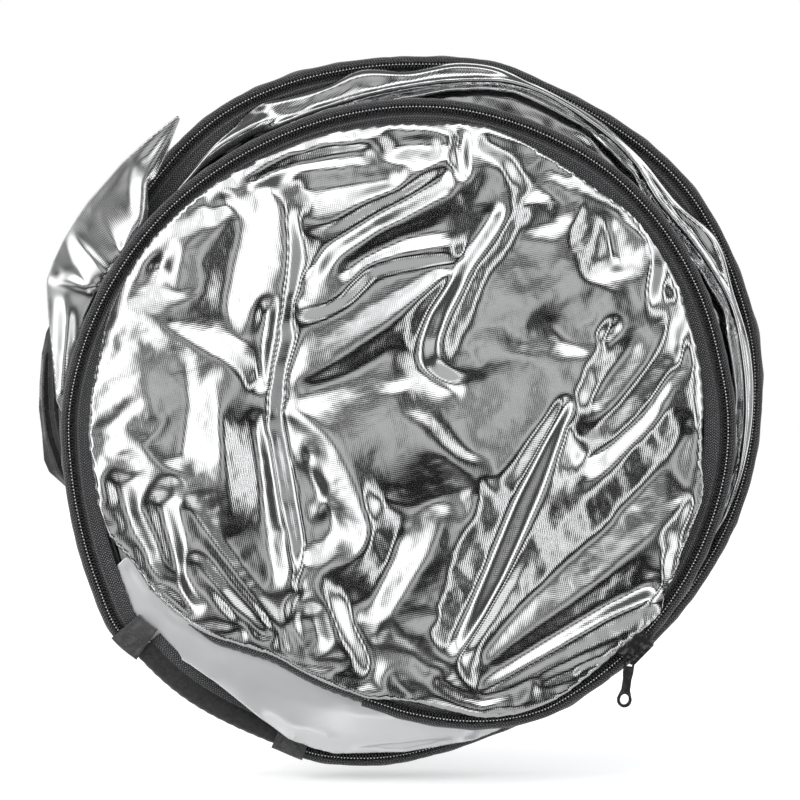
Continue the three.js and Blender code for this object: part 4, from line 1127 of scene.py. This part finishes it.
BOTTOM_OUTLINE = board([(116, 566), (129, 554), (150, 590), (175, 613), (205, 630), (240, 640), (276, 652), (320, 672), (352, 690), (370, 696), (410, 702), (446, 712), (475, 716),
    (500, 719), (522, 722), (498, 735), (474, 744), (440, 751), (405, 756), (364, 758), (335, 758), (311, 752), (287, 741), (262, 722), (240, 704), (214, 683), (188, 665), (166, 652), (148, 640), (132, 612)])
BOTTOM = [
    ([(124, 562, 9.6), (150, 594, 9.6), (175, 617, 9.4), (205, 633, 9.3), (240, 645, 9.2), (276, 657, 9.0), (320, 677, 8.8), (352, 693, 8.6)], 3.0),
    ([(127, 568, 9.22), (147, 600, 9.22), (173, 622, 9.02), (203, 638, 8.92), (238, 650, 8.82), (274, 662, 8.62), (318, 682, 8.42), (354, 698, 8.22)], 4.0),
    ([(126, 576, 9.2), (144, 606, 9.2), (170, 628, 9.0), (200, 645, 8.9), (234, 657, 8.8), (270, 669, 8.6), (314, 689, 8.4), (350, 705, 8.2)], 4.0),
    ([(200, 656, 8.8), (240, 676, 8.5), (300, 702, 8.0), (360, 718, 7.4), (420, 724, 6.4)], 0.8),
    ([(146, 618, 9.0), (190, 654, 8.7), (240, 694, 8.0), (290, 728, 6.8), (330, 741, 5.6)], 0.8),
    ([(212, 652, 8.7), (222, 666, 8.8), (226, 690, 7.7)], 1.0),
    ([(330, 745, 4.2), (364, 739, 4.6), (420, 734, 4.2), (470, 730, 3.4)], 3.0),
    ([(345, 751, 2.2), (400, 747, 1.9), (460, 741, 1.7)], 3.0),
    ([(352, 755.5, 2.9), (405, 753, 3.0), (452, 746, 2.6)], 3.0),
]


def edge_b(deg):
    return np.full(np.shape(deg), 0.0)


def bottom_fold():
    p, f, border, dist, locate = sheet_grid(BOTTOM_OUTLINE, 1.1, 0.1)
    # the rim height: high along the crease and the elastic edge, low over the middle zip
    keys = np.array([[116, 566, 9.5], [150, 590, 9.5], [205, 630, 9.2], [276, 652, 9.0], [352, 690, 8.8], [410, 702, 8.4], [446, 712, 7.6], [500, 719, 6], [522, 722, 4],
        [498, 735, 1.5], [440, 751, 0.6], [364, 758, 0.6], [311, 752, 2.0], [287, 741, 5], [240, 704, 7.4], [188, 665, 8.2], [148, 640, 8.6], [132, 612, 9]], float)
    K = board(keys[:, :2])
    eh = np.zeros(len(p))
    d2 = ((p[:, None, :] - K[None]) ** 2).sum(2)
    wgt = 1.0 / (d2 + 4.0) ** 2
    eh = (wgt * keys[:, 2]).sum(1) / wgt.sum(1)
    h, e = tension(p, f, border, locate, [(L3(l), k) for l, k in BOTTOM], eh, 1.0, 2, 1.1)
    h += 0.05 * value_noise(p, 16, 71, 2) * smooth(0, 5, dist)
    v = np.stack([p[:, 0], -6.4 - h, p[:, 1]], 1)
    ob = finish_sheet("silver_bottom_fold_cloth", v, f, p, levels=1, thick=0.3, mat=SILVER_SOFT)
    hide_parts("silver_bottom_fold")
    return ob


bottom = bottom_fold()


def crease(deg):
    """Radius of the front cloth's border, where the zip's tape shows beside the smooth fold."""
    d = np.atleast_1d(np.asarray(deg, float))
    q = rim(np.stack([d, inner_a(d)], 1))
    return np.hypot(q[:, 0] - HUB[0], q[:, 1] - HUB[1])


def crease_section(d):
    k = float(smooth(226.0, 232.0, d))
    b = 0.12 * math.sin(d * 3.1) + 0.08 * math.sin(d * 7.7)
    e = -(0.7 + 2.0 * k) + b
    return [(e, -16.9), (e + 0.45 * k, -17.7), (e * 0.62, -18.35), (e * 0.30, -18.55 + b), (0.1, -18.3), (0.8, -17.9), (0.8, -16.9), (e * 0.5, -16.55), (e, -16.5)]


strand = sweep("front_zip_tape_strand", crease, np.arange(225.0, 263.2, 0.6), crease_section)
put(strand, "front_turn", (), TAPE)

# ---------------------------------------------------------------- black fold at the left
BLACK_OUTLINE = board([(46, 313), (43, 314), (35.3, 330), (30.7, 352), (28.4, 382.5), (27.7, 408.5), (30.7, 433), (33, 462), (38.4, 474.4), (50.6, 485), (62, 495.8), (72, 500),
    (76, 480), (66, 440), (60, 400), (60, 350), (56, 325)])
BLACK_FOLD = [
    [(41, 330, 2.5), (35, 360, 4.4), (33, 405, 5), (37, 436, 5), (51, 474, 5), (64, 492, 4)],
    [(38, 350, 0.6), (38, 380, 0.4), (40.5, 421, 0.4), (50, 456, 0.4), (63, 484, 0.6)],
    [(44, 340, 3.6), (42.5, 380, 4.4), (43, 405, 4.4), (48.5, 444, 4.4), (61, 472, 4)],
    [(31.5, 400, 1.6), (34, 440, 1.2), (42, 472, 1.2)],
]
bf = cloth_panel("black_side_fold_cloth", BLACK_OUTLINE, 0.6, BLACK_FOLD, 6.6, -1, -0.5, 7.5, SATIN, "rear_turn", ("black_side_fold",),
                 sim=False, pucker=0.0, crinkle=0.1, levels=1, seed=25, soften=3, thick=0.4)

# ---------------------------------------------------------------- elastic gusset and end tabs
def gusset():
    def sec(d):
        u = (d - 222.4) / (249.6 - 222.4)
        back = 1.0
        o = []
        c0, c1, r0, r1 = 4.5, -10.6, 4.3, 7.0
        for i in range(20):
            a = 2 * math.pi * i / 20
            x = math.copysign(abs(math.cos(a)) ** 0.75, math.cos(a)) * 4.3
            y = math.copysign(abs(math.sin(a)) ** 0.8, math.sin(a)) * 3.25
            o.append((c0 + x + 0.10 * math.sin(d * 9 + i), y + 3.7))
        return o
    degs_ = np.arange(222.4, 249.61, 0.5)
    ob = sweep("elastic_gusset_tube", MIDDLE, degs_, sec)
    me = ob.data
    co = np.empty(len(me.vertices) * 3, dtype=np.float32)
    me.vertices.foreach_get("co", co)
    co = co.reshape(-1, 3)
    ang = (np.degrees(np.arctan2(co[:, 2] / MM - HUB[1], co[:, 0] / MM - HUB[0])) % 360 - 222.4) / 27.2
    co[:, 1] += (YA + (YB - YA) * smooth(0.02, 0.98, ang)) * MM
    me.vertices.foreach_set("co", co.astype(np.float32).ravel())
    me.update()
    put(ob, "front_turn", ("elastic_gusset",), ELASTIC)

    def sec2(d):
        w = tape_wave(d, 41, 0.3)
        return [(8.4, 2.2), (9.1, 1.5), (10.4, 1.35 + w), (12.2, 1.5 + w), (13.1, 1.8), (13.1, 2.15), (12.2, 2.2 + w), (10.4, 2.05 + w), (9.1, 2.2), (8.4, 2.7)]
    ob = sweep("gusset_tape", MIDDLE, degs_, sec2)
    me = ob.data
    me.vertices.foreach_get("co", co2 := np.empty(len(me.vertices) * 3, dtype=np.float32))
    co2 = co2.reshape(-1, 3)
    ang = (np.degrees(np.arctan2(co2[:, 2] / MM - HUB[1], co2[:, 0] / MM - HUB[0])) % 360 - 222.4) / 27.2
    co2[:, 1] += (YA + (YB - YA) * smooth(0.02, 0.98, ang)) * MM
    me.vertices.foreach_set("co", co2.astype(np.float32).ravel())
    me.update()
    put(ob, "front_turn", ("gusset_inner_tape",), TAPE)


gusset()


def tab(name, curve, d0, d1, r0, r1, y0, body, node, seed):
    """A folded tab of satin binding wrapped round the end of the zip, with a turned edge at each side."""
    degs_ = np.linspace(d0, d1, 22)

    def sec(d):
        u = (d - d0) / (d1 - d0)
        edge = 0.22 * math.exp(-((min(u, 1 - u)) / 0.10) ** 2)
        top = -0.55 - edge - 0.28 * math.sin(math.pi * u)
        k = 0.30 * math.sin(seed + u * 9)
        k2 = 0.26 * math.sin(seed * 2 + u * 15)
        bot = 3.5
        o = [(r0 + 0.5, top + 0.35), (r0 + 1.5, top + 0.05 + k), (r0 * 0.72 + r1 * 0.28, top - 0.25 + k2), ((r0 + r1) / 2, top - 0.15 - k), (r0 * 0.28 + r1 * 0.72, top - 0.3 - k2), (r1 - 1.6, top + k), (r1 - 0.5, top + 0.3),
             (r1, top + 1.2), (r1 + 0.1, 1.6), (r1, bot - 0.7), (r1 - 0.6, bot), ((r0 + r1) / 2, bot + 0.15), (r0 + 0.7, bot), (r0, bot - 0.8), (r0 - 0.15, 1.5), (r0, top + 1.3)]
        return o
    ob = sweep(name, curve, degs_, sec)
    shift(ob, y0)
    return put(ob, body, (node,), SATIN)


tab("end_tab_upper", FRONT, 217.9, 223.0, -1.3, 13.2, YA, "front_turn", "zip_end_tab_upper", 1.0)
tab("end_tab_lower", MIDDLE, 249.0, 254.3, -1.2, 9.4, YB, "middle_turn", "zip_end_tab_lower", 2.4)

# ---------------------------------------------------------------- cloth inside and behind
def disc_outline(curve, inset):
    d = np.arange(0, 360, 2.0)
    a = np.radians(d)
    r = curve(d) - inset
    return np.stack([r * np.cos(a) + HUB[0], r * np.sin(a) + HUB[1]], 1)


def random_folds(seed, count, radius, low, high, reach=(30, 110)):
    """Long slack folds of a loosely held disc, in row mm."""
    g = np.random.default_rng(seed)
    out = []
    for _ in range(count):
        a = g.uniform(0, 2 * math.pi)
        r = radius * math.sqrt(g.uniform(0.02, 0.86))
        p = np.array([r * math.cos(a), r * math.sin(a)]) + HUB
        d = g.uniform(0, math.pi) if g.uniform() < 0.45 else a + g.normal(0, 0.5)
        bend = g.normal(0, 0.35)
        L = g.uniform(*reach)
        pts = []
        q = p.copy()
        hgt = g.uniform(low, high)
        for i in range(7):
            pts.append((q[0], q[1], hgt * (0.45 + 0.55 * math.sin(math.pi * (i + 0.5) / 7))))
            q = q + L / 6 * np.array([math.cos(d), math.sin(d)])
            d += bend / 3
            if np.linalg.norm(q - HUB) > radius:
                break
        if len(pts) > 2:
            out.append((np.array(pts), 1.6))
    return out


cloth_panel("rear_black_cloth", disc_outline(REAR, 10.6), 2.0, random_folds(8, 46, 118, -1.0, 6.2), 19.9, 1, 18.6, 27.0, BLACK, "rear_turn",
            ("rear_black_panel",), grow=0.02, frames=10, pucker=1.4, crinkle=0.4, seed=8)
for turn, curve, yb in (("front", FRONT, YA), ("middle", MIDDLE, YB)):
    cloth_panel(turn + "_black_cloth", disc_outline(curve, 10.9), 3.0, random_folds(12 + len(turn), 26, 112, -0.2, 1.2), yb + 9.3, 1, yb + 9.1, yb + 10.6, BLACK,
                turn + "_turn", (turn + "_black_panel",), sim=False, pucker=0.0, crinkle=0.1, seed=18)

# ---------------------------------------------------------------- CAD pieces that stay
def keep(node, mat, bevel=None, segs=2):
    o = frame["nodes"][node]
    o.data.materials.clear()
    o.data.materials.append(mat)
    if bevel:
        m = o.modifiers.new("edge", "BEVEL")
        m.width = bevel * MM
        m.segments = segs
        m.limit_method = "ANGLE"
        m.angle_limit = math.radians(35)
        m.harden_normals = False
    return o


for n in ("slider_body", "slider_bridge", "pull_tab"):
    keep(n, PAINT, 0.22, 2)
for turn in ("front", "middle", "rear"):
    keep(turn + "_hoop_band", STEEL)
    keep(turn + "_rim_sleeve", BLACK)
    keep(turn + "_diffuser_panel", WHITE)
keep("hoop_ferrule", FERRULE)

# ---------------------------------------------------------------- floor, light, camera
def world():
    w = bpy.data.worlds.new("studio")
    bpy.context.scene.world = w
    w.use_nodes = True
    w.cycles.sampling_method = "NONE"
    t = w.node_tree
    t.nodes.clear()
    out = t.nodes.new("ShaderNodeOutputWorld")
    lp = t.nodes.new("ShaderNodeLightPath")
    tc = t.nodes.new("ShaderNodeTexCoord")
    sep = t.nodes.new("ShaderNodeSeparateXYZ")
    t.links.new(tc.outputs["Generated"], sep.inputs[0])
    X, Y, Z = sep.outputs

    def m(op, a, b=0.0):
        x = t.nodes.new("ShaderNodeMath")
        x.operation = op
        for i, v in enumerate((a, b)):
            if isinstance(v, (int, float)):
                x.inputs[i].default_value = v
            else:
                t.links.new(v, x.inputs[i])
        return x.outputs[0]

    def step(src, e0, e1):
        x = t.nodes.new("ShaderNodeMapRange")
        x.interpolation_type = "SMOOTHSTEP"
        x.inputs["From Min"].default_value = e0
        x.inputs["From Max"].default_value = e1
        t.links.new(src, x.inputs["Value"])
        return x.outputs[0]

    def window(src, lo, hi, s):
        return m("MULTIPLY", step(src, lo - s, lo + s), m("SUBTRACT", 1.0, step(src, hi - s, hi + s)))

    def over(base, mask, value):
        return m("ADD", m("MULTIPLY", base, m("SUBTRACT", 1.0, mask)), m("MULTIPLY", mask, value))

    # the room the metal sees: grey wall, white boxes left, right and above, black flags between
    v = m("ADD", m("ADD", m("MULTIPLY", Z, 0.35), m("MULTIPLY", X, -0.15)), 0.50)
    for (x0, x1, sx, z0, z1, sz, val) in STUDIO:
        v = over(v, m("MULTIPLY", window(X, x0, x1, sx), window(Z, z0, z1, sz)), val)
    bg_g = t.nodes.new("ShaderNodeBackground")
    t.links.new(v, bg_g.inputs[0])
    bg_g.inputs[1].default_value = 1.0
    bg_d = t.nodes.new("ShaderNodeBackground")
    bg_d.inputs[0].default_value = (0.97, 0.98, 1.0, 1)
    bg_d.inputs[1].default_value = 0.75
    bg_c = t.nodes.new("ShaderNodeBackground")
    bg_c.inputs[0].default_value = (1, 1, 1, 1)
    bg_c.inputs[1].default_value = 1.0
    m1 = t.nodes.new("ShaderNodeMixShader")
    t.links.new(lp.outputs["Is Glossy Ray"], m1.inputs[0])
    t.links.new(bg_d.outputs[0], m1.inputs[1])
    t.links.new(bg_g.outputs[0], m1.inputs[2])
    m2 = t.nodes.new("ShaderNodeMixShader")
    t.links.new(lp.outputs["Is Camera Ray"], m2.inputs[0])
    t.links.new(m1.outputs[0], m2.inputs[1])
    t.links.new(bg_c.outputs[0], m2.inputs[2])
    t.links.new(m2.outputs[0], out.inputs[0])


# x from, x to, softness, z from, z to, softness, brightness, of the direction a surface reflects
STUDIO = [
    (-2, 2, 0.1, -2, -0.62, 0.10, 0.50),
    (-2, 2, 0.1, -0.46, -0.20, 0.06, 0.010),
    (-2, 2, 0.1, -0.62, -0.53, 0.04, 1.3),
    (-2, 2, 0.1, 0.18, 0.31, 0.05, 0.03),
    (-0.27, -0.16, 0.05, -0.6, 0.3, 0.08, 0.05),
    (0.11, 0.31, 0.06, -0.7, 0.45, 0.10, 0.010),
    (-0.62, -0.36, 0.08, -0.3, 0.80, 0.12, 1.55),
    (0.36, 0.44, 0.03, -0.5, 0.5, 0.08, 1.60),
    (0.48, 0.60, 0.03, -0.7, 0.7, 0.05, 0.02),
    (0.64, 0.84, 0.05, -0.3, 0.80, 0.08, 1.30),
    (-0.22, 0.30, 0.05, 0.40, 0.66, 0.04, 1.70),
    (-0.92, -0.72, 0.05, -2, 2, 0.1, 0.06),
    (-2, 2, 0.03, 0.76, 2, 0.05, 0.10),
]
world()
sc = bpy.context.scene
sc.view_settings.view_transform = "Standard"
sc.view_settings.look = "None"


def floor():
    me = bpy.data.meshes.new("floor")
    R, n = 9.0, 96
    z = cad_low[2] - 0.006
    vs = [(R * math.cos(2 * math.pi * i / n), R * math.sin(2 * math.pi * i / n), z) for i in range(n)]
    me.from_pydata(vs, [], [tuple(range(n))])
    ob = bpy.data.objects.new("floor", me)
    bpy.context.scene.collection.objects.link(ob)
    N = Nodes("pale_floor")
    g = N.noise(3.0, 4.0, 0.5, N.obj())
    N.set(base=N.ramp(g, [(0.3, (0.93, 0.93, 0.93)), (0.7, (0.96, 0.96, 0.96))]), rough=0.8, spec=0.1)
    em = N.b.inputs["Emission Color"]
    em.default_value = (1, 1, 1, 1)
    N.b.inputs["Emission Strength"].default_value = 0.32
    me.materials.append(N.m)
    ob.visible_glossy = False


floor()


def lamp(name, loc, size, power, target=(0, 0, 0)):
    l = bpy.data.lights.new(name, "AREA")
    l.shape = "RECTANGLE"
    l.size, l.size_y = size
    l.energy = power
    o = bpy.data.objects.new(name, l)
    o.location = loc
    o.rotation_euler = (Vector(target) - Vector(loc)).to_track_quat("-Z", "Y").to_euler()
    o.visible_camera = False
    o.visible_glossy = False
    bpy.context.scene.collection.objects.link(o)


lamp("softbox_left", (-1.4, -1.2, 1.0), (0.9, 1.2), 27)
lamp("softbox_right", (1.5, -1.0, 0.8), (0.7, 1.0), 4)
lamp("softbox_top", (-0.4, -0.3, 1.8), (1.4, 0.8), 12)

cam = bpy.data.cameras.new("camera")
cam.lens = 90
cam.sensor_width = 36
cam_o = bpy.data.objects.new("camera", cam)
sc.collection.objects.link(cam_o)
D = 800 / PX * MM * 90 / 36
cam_o.location = (HUB[0] * MM, YA * MM - D, (13 / PX + HUB[1]) * MM)
cam_o.rotation_euler = (math.pi / 2, 0, 0)
sc.camera = cam_o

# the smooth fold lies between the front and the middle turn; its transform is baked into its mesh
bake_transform(bottom)
